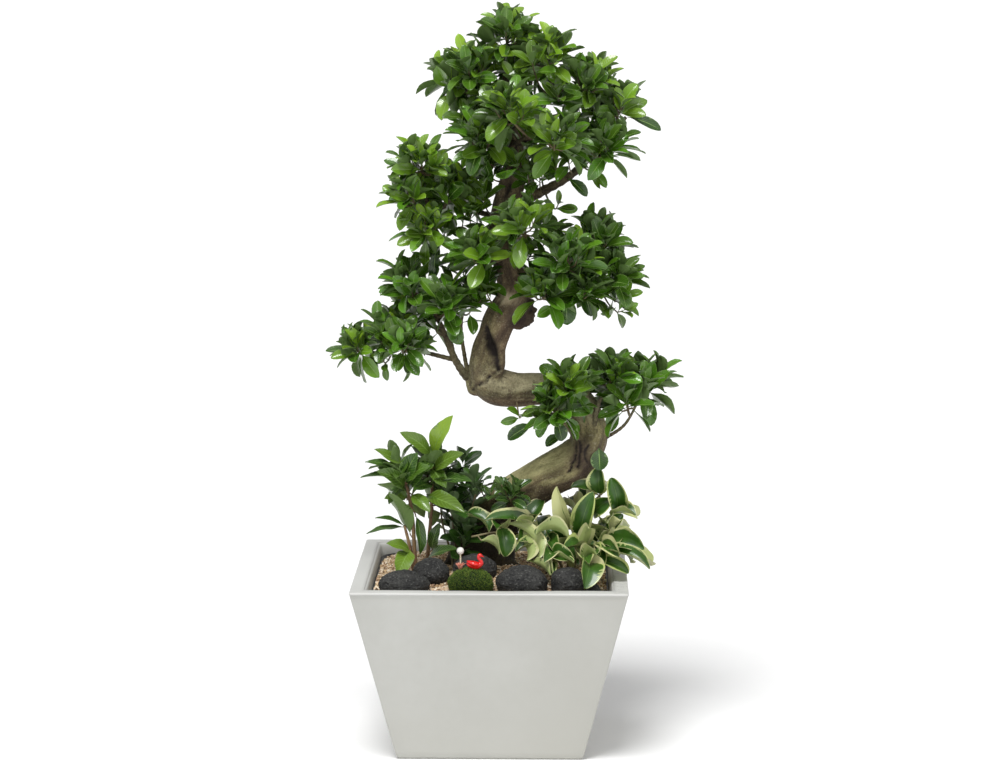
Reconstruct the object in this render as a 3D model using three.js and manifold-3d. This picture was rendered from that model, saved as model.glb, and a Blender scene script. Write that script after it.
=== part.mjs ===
// Chinese banyan bonsai with an S-shaped trunk, in a square tapered planter.
// The planter holds a plastic liner, soil and gravel. Round the trunk grow a
// broad-leaved plant, a small dark shrub and a variegated wax plant, with lava
// stones, a moss ball, a bird figure and a bead on a stick along the front.
// Millimetres, +Z up, origin at the middle of the planter's underside, front -Y.
import * as THREE from "three";
import { mergeVertices } from "three/addons/utils/BufferGeometryUtils.js";
import Module from "manifold-3d";

const wasm = await Module();
wasm.setup();

// Driving dimensions
const FIT = 0.3; // gap left between pieces that touch
const PLANTER = { height: 295, top: 226.5, foot: 153.5, wall: 25.5, floor: 26, arris: 2 };
const DRAIN = { offset: 55, radius: 8, sides: 8 };
const LINER = { rim: 277, wall: 2.5, base: 3, gap: 3, corner: 34, lip: 2 };
const GROUND = { edge: 271, crown: 299, bed: 258, bedCrown: 283, bump: 2.2, rings: 5, x: -10, y: 18 };
const TRUNK_FORM = { sides: 10, stations: 30 };
const LEAF = { length: 50, width: 27, thick: 1.5 };
const SHRUB_LEAF = { length: 36, width: 21, thick: 1.3 };
const LEAVES_A_SHOOT = 4;
const START_SPACING = 9;
const GOLDEN_ANGLE = 2.399963;
const LEAF_TURNS = [0, 0.2, -0.2, 0.4, -0.4, 0.65, -0.65, 0.9, -0.9];

// The trunk's axis from its buried foot to the leader's tip: x, y, z, radius
const TRUNK = [
  [-22, 22, 236, 30], [-19, 20, 298, 50], [-8, 12, 352, 45], [30, -6, 412, 39],
  [80, -26, 452, 37], [130, -36, 478, 38], [156, -30, 516, 35], [150, -15, 556, 31],
  [124, -4, 582, 29], [88, 5, 595, 27.5], [40, 5, 593, 28], [2, 5, 599, 30],
  [-15, 2, 625, 28], [-11, -3, 668, 25], [12, -10, 712, 27], [36, -9, 755, 29],
  [30, -1, 800, 25], [16, 10, 845, 23.5], [20, 15, 885, 23.5], [32, 9, 940, 21],
  [37, 5, 985, 16], [32, 5, 1030, 12.5], [26, 3, 1075, 9], [24, 0, 1120, 6], [25, 0, 1158, 4],
];
// Strands that stand out of the trunk: fused roots, burls and cut stubs
const STRANDS = [
  { radii: [9, 16, 15, 8], points: [[-22, -8, 598], [-24, -12, 638], [-17, -16, 680], [4, -22, 722]] },
  { radii: [8, 14, 15, 9], points: [[14, -14, 634], [8, -18, 668], [20, -24, 706], [34, -22, 742]] },
  { radii: [7, 13, 13, 7], points: [[160, -52, 476], [166, -50, 500], [164, -44, 528], [152, -34, 552]] },
  { radii: [6, 12, 11, 6], points: [[142, -60, 470], [146, -58, 494], [142, -46, 522], [136, -34, 546]] },
  { radii: [7, 13, 11, 4], points: [[36, -10, 700], [50, -14, 712], [57, -16, 726], [56, -16, 738]] },
  { radii: [8, 13, 8, 3], points: [[-16, 6, 590], [-30, 6, 596], [-38, 5, 604], [-42, 5, 612]] },
  { radii: [8, 12, 11, 5], points: [[28, -8, 900], [40, -10, 930], [46, -6, 962], [44, 0, 992]] },
];
// Surface roots: direction round the trunk's foot in degrees, and reach
const ROOTS = [[-152, 84], [-92, 76], [-25, 88], [95, 82]];
// Main branches, in bark: first and last radius, and the points they pass
const BRANCHES = [
  { radii: [10, 3], points: [[34, 8, 905], [80, 4, 925], [136, 0, 958], [186, -6, 1012], [222, 2, 1050]] },
  { radii: [8, 3], points: [[36, 5, 985], [4, 2, 1020], [-32, 4, 1056], [-60, 6, 1084]] },
  { radii: [7, 3], points: [[34, 5, 1000], [46, -40, 1010], [64, -72, 1020], [92, -84, 1022]] },
  { radii: [7, 3], points: [[33, 5, 1020], [44, 48, 1030], [62, 84, 1036], [110, 100, 1048]] },
  { radii: [6, 3], points: [[30, 4, 1050], [70, -8, 1080], [120, -22, 1096]] },
  { radii: [7, 3], points: [[16, 12, 838], [-40, 15, 836], [-84, 8, 848], [-104, -2, 892], [-110, -8, 950]] },
  { radii: [6, 3], points: [[20, 15, 880], [-16, 30, 888], [-48, 56, 890]] },
  { radii: [8, 3], points: [[34, -9, 752], [80, -28, 764], [130, -24, 776], [180, -16, 798]] },
  { radii: [6, 3], points: [[28, 2, 800], [70, 40, 788], [118, 58, 784]] },
  { radii: [6, 3], points: [[22, 5, 822], [40, -38, 826], [60, -62, 838]] },
  { radii: [9, 3], points: [[-8, 5, 596], [-38, 4, 612], [-62, -4, 648], [-84, -12, 704], [-104, -14, 742]] },
  { radii: [5, 2.6], points: [[-60, -4, 645], [-103, -12, 657], [-146, -14, 668], [-196, -12, 682]] },
  { radii: [4.5, 2.6], points: [[-64, -5, 652], [-72, 24, 676], [-98, 48, 694]] },
  { radii: [6, 2.8], points: [[160, -38, 506], [190, -38, 520], [222, -30, 541], [246, -16, 580]] },
  { radii: [6, 2.8], points: [[158, -38, 512], [170, -52, 540], [178, -42, 578], [190, -32, 596]] },
  { radii: [5, 2.8], points: [[140, -12, 566], [160, 20, 566], [186, 44, 568]] },
  { radii: [5, 2.8], points: [[120, -10, 584], [122, -42, 588], [123, -58, 596]] },
];
// Leafy sprays of the banyan: the middle of each, how far it reaches, and its number of shoots
const SPRAYS = {
  crown_top: { at: [25, 0, 1186], reach: 46, shoots: 3 },
  crown_top_right: { at: [90, -30, 1160], reach: 48, shoots: 3 },
  crown_upper_left: { at: [-30, -25, 1140], reach: 46, shoots: 3 },
  crown_far_left: { at: [-72, 16, 1108], reach: 44, shoots: 3 },
  crown_front: { at: [30, -100, 1074], reach: 52, shoots: 3 },
  crown_right: { at: [162, -35, 1106], reach: 50, shoots: 3 },
  crown_far_right: { at: [226, 5, 1056], reach: 46, shoots: 3 },
  crown_low_right: { at: [188, -52, 1004], reach: 46, shoots: 3 },
  crown_low_front: { at: [107, -104, 1016], reach: 50, shoots: 3 },
  crown_low_left: { at: [-20, -52, 1014], reach: 48, shoots: 3 },
  crown_back_top: { at: [58, 82, 1142], reach: 50, shoots: 3 },
  crown_back_right: { at: [164, 100, 1064], reach: 52, shoots: 3 },
  crown_back_left: { at: [-22, 92, 1070], reach: 50, shoots: 3 },
  crown_back: { at: [66, 128, 1000], reach: 48, shoots: 3 },
  upper_left_tip: { at: [-112, -15, 992], reach: 44, shoots: 3 },
  upper_left_out: { at: [-148, -20, 926], reach: 44, shoots: 3 },
  upper_left_in: { at: [-58, -4, 940], reach: 42, shoots: 3 },
  upper_left_low: { at: [-116, -28, 868], reach: 42, shoots: 3 },
  upper_left_back: { at: [-84, 78, 912], reach: 46, shoots: 3 },
  mid_right_top: { at: [56, -84, 884], reach: 46, shoots: 3 },
  mid_right_tip: { at: [186, -8, 858], reach: 46, shoots: 3 },
  mid_right_front: { at: [126, -84, 830], reach: 48, shoots: 3 },
  mid_right_low: { at: [88, -76, 766], reach: 40, shoots: 3 },
  mid_right_under: { at: [150, -56, 764], reach: 38, shoots: 3 },
  mid_right_out: { at: [218, -34, 774], reach: 44, shoots: 3 },
  mid_right_back: { at: [150, 76, 806], reach: 50, shoots: 3 },
  mid_left_front: { at: [-28, -58, 828], reach: 38, shoots: 3 },
  low_left_top: { at: [-142, -16, 782], reach: 46, shoots: 3 },
  low_left_in: { at: [-72, -52, 748], reach: 44, shoots: 3 },
  low_left_out: { at: [-182, -18, 714], reach: 44, shoots: 3 },
  low_left_tip: { at: [-226, -10, 672], reach: 36, shoots: 3 },
  low_left_front: { at: [-142, -62, 680], reach: 42, shoots: 3 },
  low_left_back: { at: [-122, 66, 724], reach: 48, shoots: 3 },
  low_right_in: { at: [124, -74, 620], reach: 38, shoots: 3 },
  low_right_front: { at: [90, -84, 562], reach: 36, shoots: 3 },
  low_right_top: { at: [200, -30, 628], reach: 44, shoots: 3 },
  low_right_tip: { at: [268, 0, 616], reach: 44, shoots: 3 },
  low_right_low: { at: [232, -44, 572], reach: 34, shoots: 2 },
  low_right_back: { at: [204, 62, 594], reach: 42, shoots: 3 },
  low_sprig: { at: [26, -78, 450], reach: 24, shoots: 2 },
};

// Broad-leaved plant: its stems, then each leaf by the stem point it leaves and its tip
const BROADLEAF = {
  crown: [-118, -34],
  radii: [4, 2.4],
  sides: 4,
  stems: [
    [[-118, -34, 252], [-130, -60, 320], [-132, -60, 384], [-135, -58, 424]],
    [[-114, -28, 252], [-107, -20, 320], [-103, -25, 400], [-108, -20, 486]],
    [[-121, -39, 252], [-136, -64, 330], [-153, -70, 376]],
  ],
  leaves: [
    { from: [-108, -20, 484], tip: [-64, -25, 556], width: 36 },
    { from: [-108, -20, 480], tip: [-153, -35, 531], width: 30 },
    { from: [-107, -21, 474], tip: [-190, -14, 506], width: 30 },
    { from: [-107, -21, 462], tip: [-42, -62, 502], width: 32 },
    { from: [-106, -22, 456], tip: [-150, -82, 494], width: 32 },
    { from: [-106, -22, 452], tip: [-90, 50, 492], width: 30 },
    { from: [-104, -24, 432], tip: [-186, -46, 456], width: 30 },
    { from: [-104, -24, 426], tip: [-34, -84, 440], width: 34 },
    { from: [-103, -25, 410], tip: [-150, 40, 432], width: 30 },
    { from: [-103, -25, 402], tip: [-62, -98, 388], width: 36 },
    { from: [-134, -58, 418], tip: [-188, -86, 432], width: 30 },
    { from: [-134, -58, 414], tip: [-142, -118, 436], width: 28 },
    { from: [-133, -59, 404], tip: [-160, -116, 372], width: 32 },
    { from: [-132, -60, 392], tip: [-116, -108, 340], width: 30 },
    { from: [-152, -70, 374], tip: [-200, -88, 368], width: 22 },
    { from: [-152, -70, 370], tip: [-196, -52, 392], width: 22 },
    { from: [-131, -60, 334], tip: [-172, -98, 356], width: 28 },
    { from: [-131, -60, 326], tip: [-152, -124, 318], width: 32 },
    { from: [-109, -24, 330], tip: [-62, -92, 358], width: 32 },
  ],
};
// Small dark shrub: its stems, each ending in a shoot
const SHRUB = {
  crown: [-62, -44],
  radii: [2.4, 1.7],
  sides: 3,
  stems: [
    [[-62, -48, 252], [-58, -42, 312], [-64, -30, 368], [-68, -34, 408]],
    [[-58, -44, 252], [-50, -38, 316], [-38, -32, 376], [-26, -44, 424]],
    [[-66, -42, 252], [-66, -32, 312], [-84, -4, 374], [-86, 6, 440]],
    [[-62, -40, 252], [-60, -28, 320], [-52, 4, 392], [-50, 20, 448]],
  ],
};
// Variegated wax plant: its vines, then each leaf by the vine point it leaves and its tip
const WAX = {
  crown: [122, -50],
  radii: [2.8, 2],
  sides: 3,
  stems: [
    [[118, -46, 252], [116, -48, 310], [88, -56, 344], [48, -66, 362], [6, -76, 366], [-32, -82, 360]],
    [[122, -50, 252], [116, -66, 312], [92, -92, 326], [70, -112, 330]],
    [[124, -46, 252], [130, -50, 320], [142, -50, 356], [154, -42, 396], [186, -34, 426]],
    [[128, -50, 252], [146, -58, 316], [186, -66, 366], [210, -60, 402]],
    [[126, -54, 252], [150, -76, 316], [186, -94, 336], [214, -98, 334]],
    [[122, -56, 252], [142, -96, 310], [166, -136, 324]],
  ],
  leaves: [
    { from: [86, -57, 344], tip: [-6, -92, 396], face: [-0.3, -0.5, 0.8], width: 34 },
    { from: [44, -67, 362], tip: [84, -122, 332], face: [-0.2, -0.9, 0.5], width: 30 },
    { from: [12, -75, 365], tip: [22, -118, 330], face: [0.1, -0.9, 0.4], width: 30 },
    { from: [-12, -79, 363], tip: [34, -132, 346], face: [-0.5, -0.4, 0.8], width: 26 },
    { from: [-30, -82, 360], tip: [-58, -104, 400], face: [0.5, -0.7, 0.5], width: 24 },
    { from: [70, -61, 354], tip: [80, -40, 414], face: [-0.2, -1, 0.1], width: 32 },
    { from: [96, -88, 325], tip: [128, -134, 356], face: [0.2, -0.6, 0.8], width: 30 },
    { from: [84, -100, 328], tip: [132, -162, 348], face: [-0.2, -0.5, 0.8], width: 26 },
    { from: [70, -112, 330], tip: [100, -172, 346], face: [-0.6, -0.4, 0.7], width: 28 },
    { from: [134, -50, 330], tip: [76, -96, 372], face: [-0.2, -0.6, 0.8], width: 30 },
    { from: [143, -49, 360], tip: [108, -72, 440], face: [-0.4, -0.9, 0.2], width: 34 },
    { from: [144, -48, 366], tip: [146, -16, 432], face: [0.2, -1, 0.2], width: 28 },
    { from: [150, -44, 384], tip: [172, -92, 430], face: [0.1, -0.8, 0.6], width: 38 },
    { from: [168, -38, 410], tip: [208, -74, 440], face: [0.3, -0.6, 0.7], width: 30 },
    { from: [185, -34, 424], tip: [136, -10, 446], face: [0, -0.5, 0.9], width: 30 },
    { from: [136, -84, 308], tip: [168, -134, 384], face: [-0.6, -0.8, 0.1], width: 28 },
    { from: [140, -50, 350], tip: [86, -6, 374], face: [-0.2, -0.5, 0.8], width: 30 },
    { from: [209, -60, 400], tip: [200, -50, 458], face: [0.2, -1, 0.1], width: 36 },
    { from: [204, -61, 394], tip: [248, -18, 386], face: [0, -0.6, 0.8], width: 30 },
    { from: [184, -66, 364], tip: [204, -116, 406], face: [-0.1, -0.9, 0.5], width: 36 },
    { from: [190, -94, 336], tip: [256, -116, 346], face: [0, -0.5, 0.9], width: 34 },
    { from: [212, -98, 334], tip: [268, -62, 318], face: [0.3, -0.3, 0.9], width: 34 },
    { from: [166, -134, 324], tip: [228, -150, 314], face: [0, -0.6, 0.8], width: 28 },
    { from: [178, -91, 332], tip: [182, -150, 344], face: [0.4, -0.4, 0.8], width: 28 },
    { from: [160, -126, 321], tip: [158, -196, 318], face: [0, -0.3, 1], width: 34 },
    { from: [190, -66, 372], tip: [222, -8, 352], face: [0.2, 0.3, 0.9], width: 30 },
    { from: [124, -46, 312], tip: [92, 20, 340], face: [-0.3, 0.3, 0.9], width: 32 },
  ],
};
// Lava stones: centre, half sizes, turn about the vertical in degrees
const STONES = {
  lava_stone_left: { at: [-140, -156, 294], half: [41, 30, 24], turn: 6 },
  lava_stone_left_rear: { at: [-94, -102, 305], half: [32, 27, 25], turn: -30 },
  lava_stone_middle_rear: { at: [-26, -84, 306], half: [38, 27, 25], turn: 8 },
  lava_stone_middle: { at: [54, -156, 299], half: [42, 31, 28], turn: -4 },
  lava_stone_right: { at: [127, -157, 299], half: [28, 28, 27], turn: 20 },
  lava_stone_small: { at: [169, -156, 285], half: [13, 18, 14], detail: 1 },
};
const MOSS = { at: [-31, -158, 296], half: [38, 33, 28], seed: 5 };
const BIRD = { at: [-25, -160, 332] };
const BEAD = { x: -48, y: -150, foot: 300, z: 350, radius: 6, stick: 1.3 };
const FLOWER = { z: 317, petals: 6, height: 13, radius: 8.5 };

// Leaf forms past the petiole: sections as shares of the length and of the width
const OBOVATE = [[0.34, 0.78], [0.7, 1]];
const ELLIPTIC = [[0.26, 0.78], [0.52, 1], [0.8, 0.62]];
const TOOTHED = [[0.22, 0.62], [0.38, 1], [0.43, 0.84], [0.6, 0.98], [0.65, 0.8], [0.82, 0.56]];

const LOOKS = {
  planter: { color: 0xe4e5df, roughness: 0.6 },
  liner: { color: 0x1b1c1c, roughness: 0.5 },
  soil: { color: 0x3a2a1e, roughness: 1 },
  gravel: { color: 0xb79f83, roughness: 0.9 },
  bark: { color: 0x75695a, roughness: 0.9 },
  banyanLeaf: { color: 0x2c6420, roughness: 0.35 },
  broadLeaf: { color: 0x3f7a2b, roughness: 0.45 },
  shrubLeaf: { color: 0x1f4a22, roughness: 0.4 },
  waxLeaf: { color: 0x9db26a, roughness: 0.45 },
  lava: { color: 0x37383b, roughness: 0.95 },
  moss: { color: 0x35601a, roughness: 1 },
  bird: { color: 0xd3121c, roughness: 0.35 },
  bead: { color: 0xefece0, roughness: 0.2 },
  stick: { color: 0xd9cfae, roughness: 0.5 },
  flower: { color: 0xe58f7c, roughness: 0.5 },
};

const UP = new THREE.Vector3(0, 0, 1);
const vec = (p) => new THREE.Vector3(...p);
const { lerp, degToRad } = THREE.MathUtils;

// Solids and skins

// The same sequence of numbers from 0 to 1 for the same seed
function draws(seed) {
  let state = seed;
  return () => (state = (state * 48271) % 2147483647) / 2147483647;
}

function solid(geometry) {
  const bare = geometry.index ? geometry.toNonIndexed() : geometry.clone();
  for (const name of Object.keys(bare.attributes)) if (name !== "position") bare.deleteAttribute(name);
  const merged = mergeVertices(bare, 1e-4);
  return new wasm.Manifold(
    new wasm.Mesh({
      numProp: 3,
      vertProperties: merged.attributes.position.array,
      triVerts: new Uint32Array(merged.index.array),
    }),
  );
}

function geometryOf(manifold) {
  const made = manifold.getMesh();
  return new THREE.BufferGeometry()
    .setAttribute("position", new THREE.BufferAttribute(new Float32Array(made.vertProperties), 3))
    .setIndex(new THREE.BufferAttribute(new Uint32Array(made.triVerts), 1));
}

const union = (solids) => wasm.Manifold.union(solids);

// The largest body of a solid, without the scraps that a cut leaves behind
function largest(manifold) {
  return manifold.decompose().reduce((a, b) => (b.volume() > a.volume() ? b : a));
}

// The triangles between two rings of points, which may differ in number. One point is a tip.
function band(low, high) {
  const faces = [];
  const steps = high.length > 1 ? high.length : 0;
  let [i, j] = [0, 0];
  while (i < low.length || j < steps) {
    const [a, b] = [low[i % low.length], high[j % high.length]];
    if (j >= steps || (i < low.length && (i + 1) * steps <= (j + 1) * low.length)) {
      faces.push([a, low[(i + 1) % low.length], b]);
      i++;
    } else {
      faces.push([a, high[(j + 1) % high.length], b]);
      j++;
    }
  }
  return faces;
}

// A skin is a set of triangles. This one closes a body of rings, with fans at its ends.
function skinOf(rings) {
  const skin = new Set();
  const first = rings[0];
  for (let k = 2; k < first.length; k++) skin.add([first[0], first[k], first[k - 1]]);
  extend(skin, rings);
  return skin;
}
function extend(skin, rings) {
  const last = rings[rings.length - 1];
  for (let i = 1; i < rings.length; i++) band(rings[i - 1], rings[i]).forEach((face) => skin.add(face));
  for (let k = 2; k < last.length; k++) skin.add([last[0], last[k - 1], last[k]]);
}

function solidOf(skin) {
  const points = [...skin].flat().flatMap((p) => p.toArray());
  const geometry = new THREE.BufferGeometry();
  return solid(geometry.setAttribute("position", new THREE.Float32BufferAttribute(points, 3)));
}

const loft = (rings) => solidOf(skinOf(rings));

// The triangle of a skin for something to grow on: near a point, and facing its way
function footFor(skin, near, way) {
  let [best, least] = [null, Infinity];
  for (const face of skin) {
    const triangle = new THREE.Triangle(...face);
    const facing = triangle.getNormal(new THREE.Vector3()).dot(way);
    const cost = triangle.getMidpoint(new THREE.Vector3()).distanceTo(near) - 4 * facing;
    if (facing > 0.25 && cost < least) [best, least] = [face, cost];
  }
  return best;
}

// Starts each ring at the point that lets the rings follow on from the foot untwisted
function matched(foot, rings) {
  const count = rings[0].length;
  const pair = (i, turn) => rings[0][(turn + Math.round((i * count) / 3)) % count];
  const strain = (turn) => foot.reduce((sum, p, i) => sum + p.distanceTo(pair(i, turn)), 0);
  const best = rings[0].map((_, k) => k).reduce((a, b) => (strain(b) < strain(a) ? b : a));
  return rings.map((ring) => ring.map((_, k) => ring[(k + best) % ring.length]));
}

// Rings of points along a smooth curve through points, with its radius at each of them
function stemRings(points, radii, { sides, stations, grow = 0, fluting = () => 1 }) {
  const curve = new THREE.CatmullRomCurve3(points.map(vec), false, "centripetal");
  const frames = curve.computeFrenetFrames(stations);
  const rings = [];
  for (let i = 0; i <= stations; i++) {
    const t = i / stations;
    const along = curve.getUtoTmapping(t) * (points.length - 1);
    const whole = Math.min(Math.floor(along), points.length - 2);
    const radius = lerp(radii[whole], radii[whole + 1], along - whole);
    const centre = curve.getPointAt(t);
    if (i === 0) centre.addScaledVector(frames.tangents[0], -grow);
    if (i === stations) centre.addScaledVector(frames.tangents[i], grow);
    const ring = [];
    for (let k = 0; k < sides; k++) {
      const angle = (2 * Math.PI * k) / sides;
      const reach = radius * fluting(angle, t) + grow;
      const out = frames.normals[i].clone().multiplyScalar(reach * Math.cos(angle));
      ring.push(centre.clone().add(out).addScaledVector(frames.binormals[i], reach * Math.sin(angle)));
    }
    rings.push(ring);
  }
  return rings;
}
const stem = (points, radii, form) => loft(stemRings(points, radii, form));
const evenly = (points, [first, last]) => points.map((_, i) => lerp(first, last, i / (points.length - 1)));

// A level ring of a square with rounded corners
function squareRing(half, corner, z, steps) {
  const ring = [];
  for (let quarter = 0; quarter < 4; quarter++) {
    for (let s = 0; s <= steps; s++) {
      const angle = (s / steps) * (Math.PI / 2);
      const p = vec([half - corner + corner * Math.cos(angle), half - corner + corner * Math.sin(angle), z]);
      ring.push(p.applyAxisAngle(UP, (quarter * Math.PI) / 2));
    }
  }
  return ring;
}

// An uneven round lump, such as a stone: a sphere pushed in and out by crossing waves
function lump({ at, half, turn = 0, seed, detail = 2 }, grow = 0) {
  const ball = new THREE.IcosahedronGeometry(1, detail);
  const draw = draws(seed);
  const waves = [1, 2, 3].map(() => [vec([draw(), draw(), draw()]).multiplyScalar(4), 6 * draw()]);
  const position = ball.attributes.position;
  for (let i = 0; i < position.count; i++) {
    const p = new THREE.Vector3().fromBufferAttribute(position, i);
    const swell = waves.reduce((sum, [wave, phase]) => sum + Math.sin(wave.dot(p) + phase), 0);
    p.multiply(vec(half.map((size) => size + grow))).multiplyScalar(1 + 0.018 * swell);
    position.setXYZ(i, p.x, p.y, p.z);
  }
  return solid(ball.rotateZ(degToRad(turn)).translate(...at));
}

// Leaves

// Rings of a leaf past its petiole, thickest along the rib. fold lifts the edges and
// leaves a groove along the rib; arch bows the leaf lengthwise.
function leafRings({ base, tip, face }, { sections, width, thick, fold = 0, arch = 0.08 }, grow = 0) {
  const run = tip.clone().sub(base);
  const along = run.clone().normalize();
  const up = face.clone().addScaledVector(along, -face.dot(along)).normalize();
  const side = along.clone().cross(up);
  const rings = sections.map(([s, share]) => {
    const rise = 4 * arch * run.length() * s * (1 - s);
    const rib = base.clone().lerp(tip, s).addScaledVector(up, rise);
    const half = (share * width) / 2 + grow;
    const across = half * Math.cos(fold);
    const raised = rib.clone().addScaledVector(up, half * Math.sin(fold) + grow);
    const left = raised.clone().addScaledVector(side, -across);
    const right = raised.clone().addScaledVector(side, across);
    const groove = fold ? [rib.clone().addScaledVector(up, grow)] : [];
    return [left, ...groove, right, rib.clone().addScaledVector(up, -thick - grow)];
  });
  return [...rings, [tip.clone().addScaledVector(along, grow)]];
}

// Places that are taken: a new leaf has to stay clear of all but the stem it grows on
const taken = [];
function boundsOf(manifold) {
  const { min, max } = manifold.boundingBox();
  return new THREE.Box3(vec(min), vec(max));
}
function claim(manifold, owner) {
  taken.push({ manifold, owner, bounds: boundsOf(manifold) });
}
function isClear(manifold, owner) {
  const bounds = boundsOf(manifold);
  return taken.every(
    (other) =>
      other.owner === owner ||
      !bounds.intersectsBox(other.bounds) ||
      other.manifold.intersect(manifold).isEmpty(),
  );
}

// Lets a leaf grow out of a triangle of a skin. If it would cross something, it is turned
// about its foot, and if no turn clears it, it is left out.
function growLeaf(skin, owner, leaf, form) {
  for (const turn of LEAF_TURNS) {
    const place = leaf(turn);
    const foot = footFor(skin, place.base, place.tip.clone().sub(place.base).normalize());
    if (!foot) continue;
    if (!isClear(loft([foot, ...matched(foot, leafRings(place, form, FIT))]), owner)) continue;
    const rings = [foot, ...matched(foot, leafRings(place, form))];
    claim(loft(rings), "leaf");
    skin.delete(foot);
    extend(skin, rings);
    return;
  }
}

// A leaf by the stem point it leaves, its tip, and the way its upper side faces
const placedLeaf = ({ from, tip, face = [0, -0.75, 0.65] }) => (turn) => {
  const base = vec(from);
  return { base, tip: vec(tip).sub(base).applyAxisAngle(UP, turn).add(base), face: vec(face) };
};

// The leaves of a shoot go round it by the golden angle, the lower ones spread wider
function shootLeaves({ foot, tip }, count, length, phase) {
  const axis = tip.clone().sub(foot).normalize();
  const across = vec([0.3, 1, 0.1]).cross(axis).normalize();
  return Array.from({ length: count }, (_, k) => (turn) => {
    const share = k / (count - 1);
    const spread = lerp(1.4, 0.4, share);
    const out = across.clone().applyAxisAngle(axis, phase + turn + k * GOLDEN_ANGLE);
    const along = axis.clone().multiplyScalar(Math.cos(spread)).addScaledVector(out, Math.sin(spread));
    const face = axis.clone().multiplyScalar(Math.sin(spread)).addScaledVector(out, -Math.cos(spread));
    const base = foot.clone().lerp(tip, lerp(0.35, 1, share));
    return { base, tip: base.clone().addScaledVector(along, length), face: face.setZ(face.z + 0.5) };
  });
}

// Planter, a hollow square taper with drain holes through its floor

const planterHalf = (z) => lerp(PLANTER.foot, PLANTER.top, z / PLANTER.height);
const cavityHalf = (z) => planterHalf(z) - PLANTER.wall;

function drains(low, high) {
  const { offset, radius, sides } = DRAIN;
  return union(
    [[-1, -1], [1, -1], [1, 1], [-1, 1]].map(([x, y]) => {
      const at = (z) => [x * offset, y * offset, z];
      return stem([at(low), at(high)], [radius, radius], { sides, stations: 1 });
    }),
  );
}

function planter() {
  const { height, arris, floor } = PLANTER;
  const outside = loft([
    squareRing(planterHalf(0), arris, 0, 1),
    squareRing(planterHalf(height - arris), arris, height - arris, 1),
    squareRing(planterHalf(height) - arris, arris, height, 1),
  ]);
  const inside = loft([
    squareRing(cavityHalf(floor), arris, floor, 1),
    squareRing(cavityHalf(height + 5), arris, height + 5, 1),
  ]);
  return outside.subtract(inside).subtract(drains(-5, floor + 5));
}

// Liner, a thin plastic tray with round corners, its rim below the planter's

const linerHalf = (z) => cavityHalf(z) - LINER.gap;
const linerFoot = PLANTER.floor + FIT;
const linerFloor = linerFoot + LINER.base;

function liner() {
  const { rim, wall, corner, lip } = LINER;
  const outside = loft([
    squareRing(linerHalf(linerFoot) - 1, corner, linerFoot, 2),
    squareRing(linerHalf(rim - 6), corner, rim - 6, 2),
    squareRing(linerHalf(rim - 6) + lip, corner, rim - 4, 2),
    squareRing(linerHalf(rim) + lip, corner, rim, 2),
  ]);
  const inside = loft([
    squareRing(linerHalf(linerFloor) - 1 - wall, corner - wall, linerFloor, 2),
    squareRing(linerHalf(rim + 5) - wall, corner - wall, rim + 5, 2),
  ]);
  return outside.subtract(inside).subtract(drains(linerFoot - 5, linerFloor + 5));
}

// Soil, and on it a mound of gravel that rises to the trunk

const fillHalf = (z) => linerHalf(z) - LINER.wall - FIT - 1;
const fillCorner = LINER.corner - LINER.wall - FIT;

function soil() {
  const floor = linerFloor + FIT;
  return loft([
    squareRing(fillHalf(floor), fillCorner, floor, 2),
    squareRing(fillHalf(GROUND.bed), fillCorner, GROUND.bed - FIT, 2),
    [vec([GROUND.x, GROUND.y, GROUND.bedCrown - FIT])],
  ]);
}

// Its top is uneven by seeded draws, level with the liner's fill along the edge
function gravel() {
  const draw = draws(77);
  const middle = vec([GROUND.x, GROUND.y, 0]);
  const edgeAt = (z) => {
    const corners = squareRing(fillHalf(z), fillCorner, z, 2);
    return corners.flatMap((p, i) => [p, p.clone().lerp(corners[(i + 1) % corners.length], 0.5)]);
  };
  const edge = edgeAt(GROUND.edge);
  const rings = [edgeAt(GROUND.bed), edge];
  for (let r = GROUND.rings - 1; r >= 1; r--) {
    const ring = edge.map((p) => {
      const share = (r + 0.5 * draw() - 0.25) / GROUND.rings;
      const level = lerp(GROUND.crown, GROUND.edge, share ** 2.5) + GROUND.bump * (2 * draw() - 1);
      return middle.clone().lerp(p, share).setZ(level);
    });
    rings.push(ring);
  }
  return loft([[middle.clone().setZ(GROUND.bedCrown)], ...rings, [middle.clone().setZ(GROUND.crown)]]);
}

// Banyan wood: trunk, strands, surface roots and main branches, grown together

const fluting = (angle, t) =>
  1 + 0.07 * Math.sin(2 * angle + 9 * t) + 0.05 * Math.sin(3 * angle - 14 * t) + 0.03 * Math.sin(47 * t);

function wood(grow = 0) {
  const path = TRUNK.map(([x, y, z]) => [x, y, z]);
  const radii = TRUNK.map(([, , , radius]) => radius);
  const [footX, footY] = TRUNK[1];
  const roots = ROOTS.map(([degrees, reach]) => {
    const [x, y] = [Math.cos(degToRad(degrees)), Math.sin(degToRad(degrees))];
    const at = (out, z) => [footX + out * x, footY + out * y, z];
    return stem([at(20, 322), at(48, 300), at(reach, 278)], [20, 13, 4], { sides: 4, stations: 2, grow });
  });
  const branches = BRANCHES.map(({ points, radii }) =>
    stem(points, evenly(points, radii), { sides: 4, stations: points.length, grow }),
  );
  const strands = STRANDS.map(({ points, radii }) => stem(points, radii, { sides: 5, stations: 4, grow }));
  return union([stem(path, radii, { ...TRUNK_FORM, grow, fluting }), ...strands, ...branches, ...roots]);
}

// Points along the wood that a spray may start from, and those that are used up
const startPoints = [];
const woodPoints = [TRUNK.slice(3).map((p) => p.slice(0, 3)), ...BRANCHES.map((b) => b.points)].flatMap(
  (points) => new THREE.CatmullRomCurve3(points.map(vec), false, "centripetal").getSpacedPoints(24),
);

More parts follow.
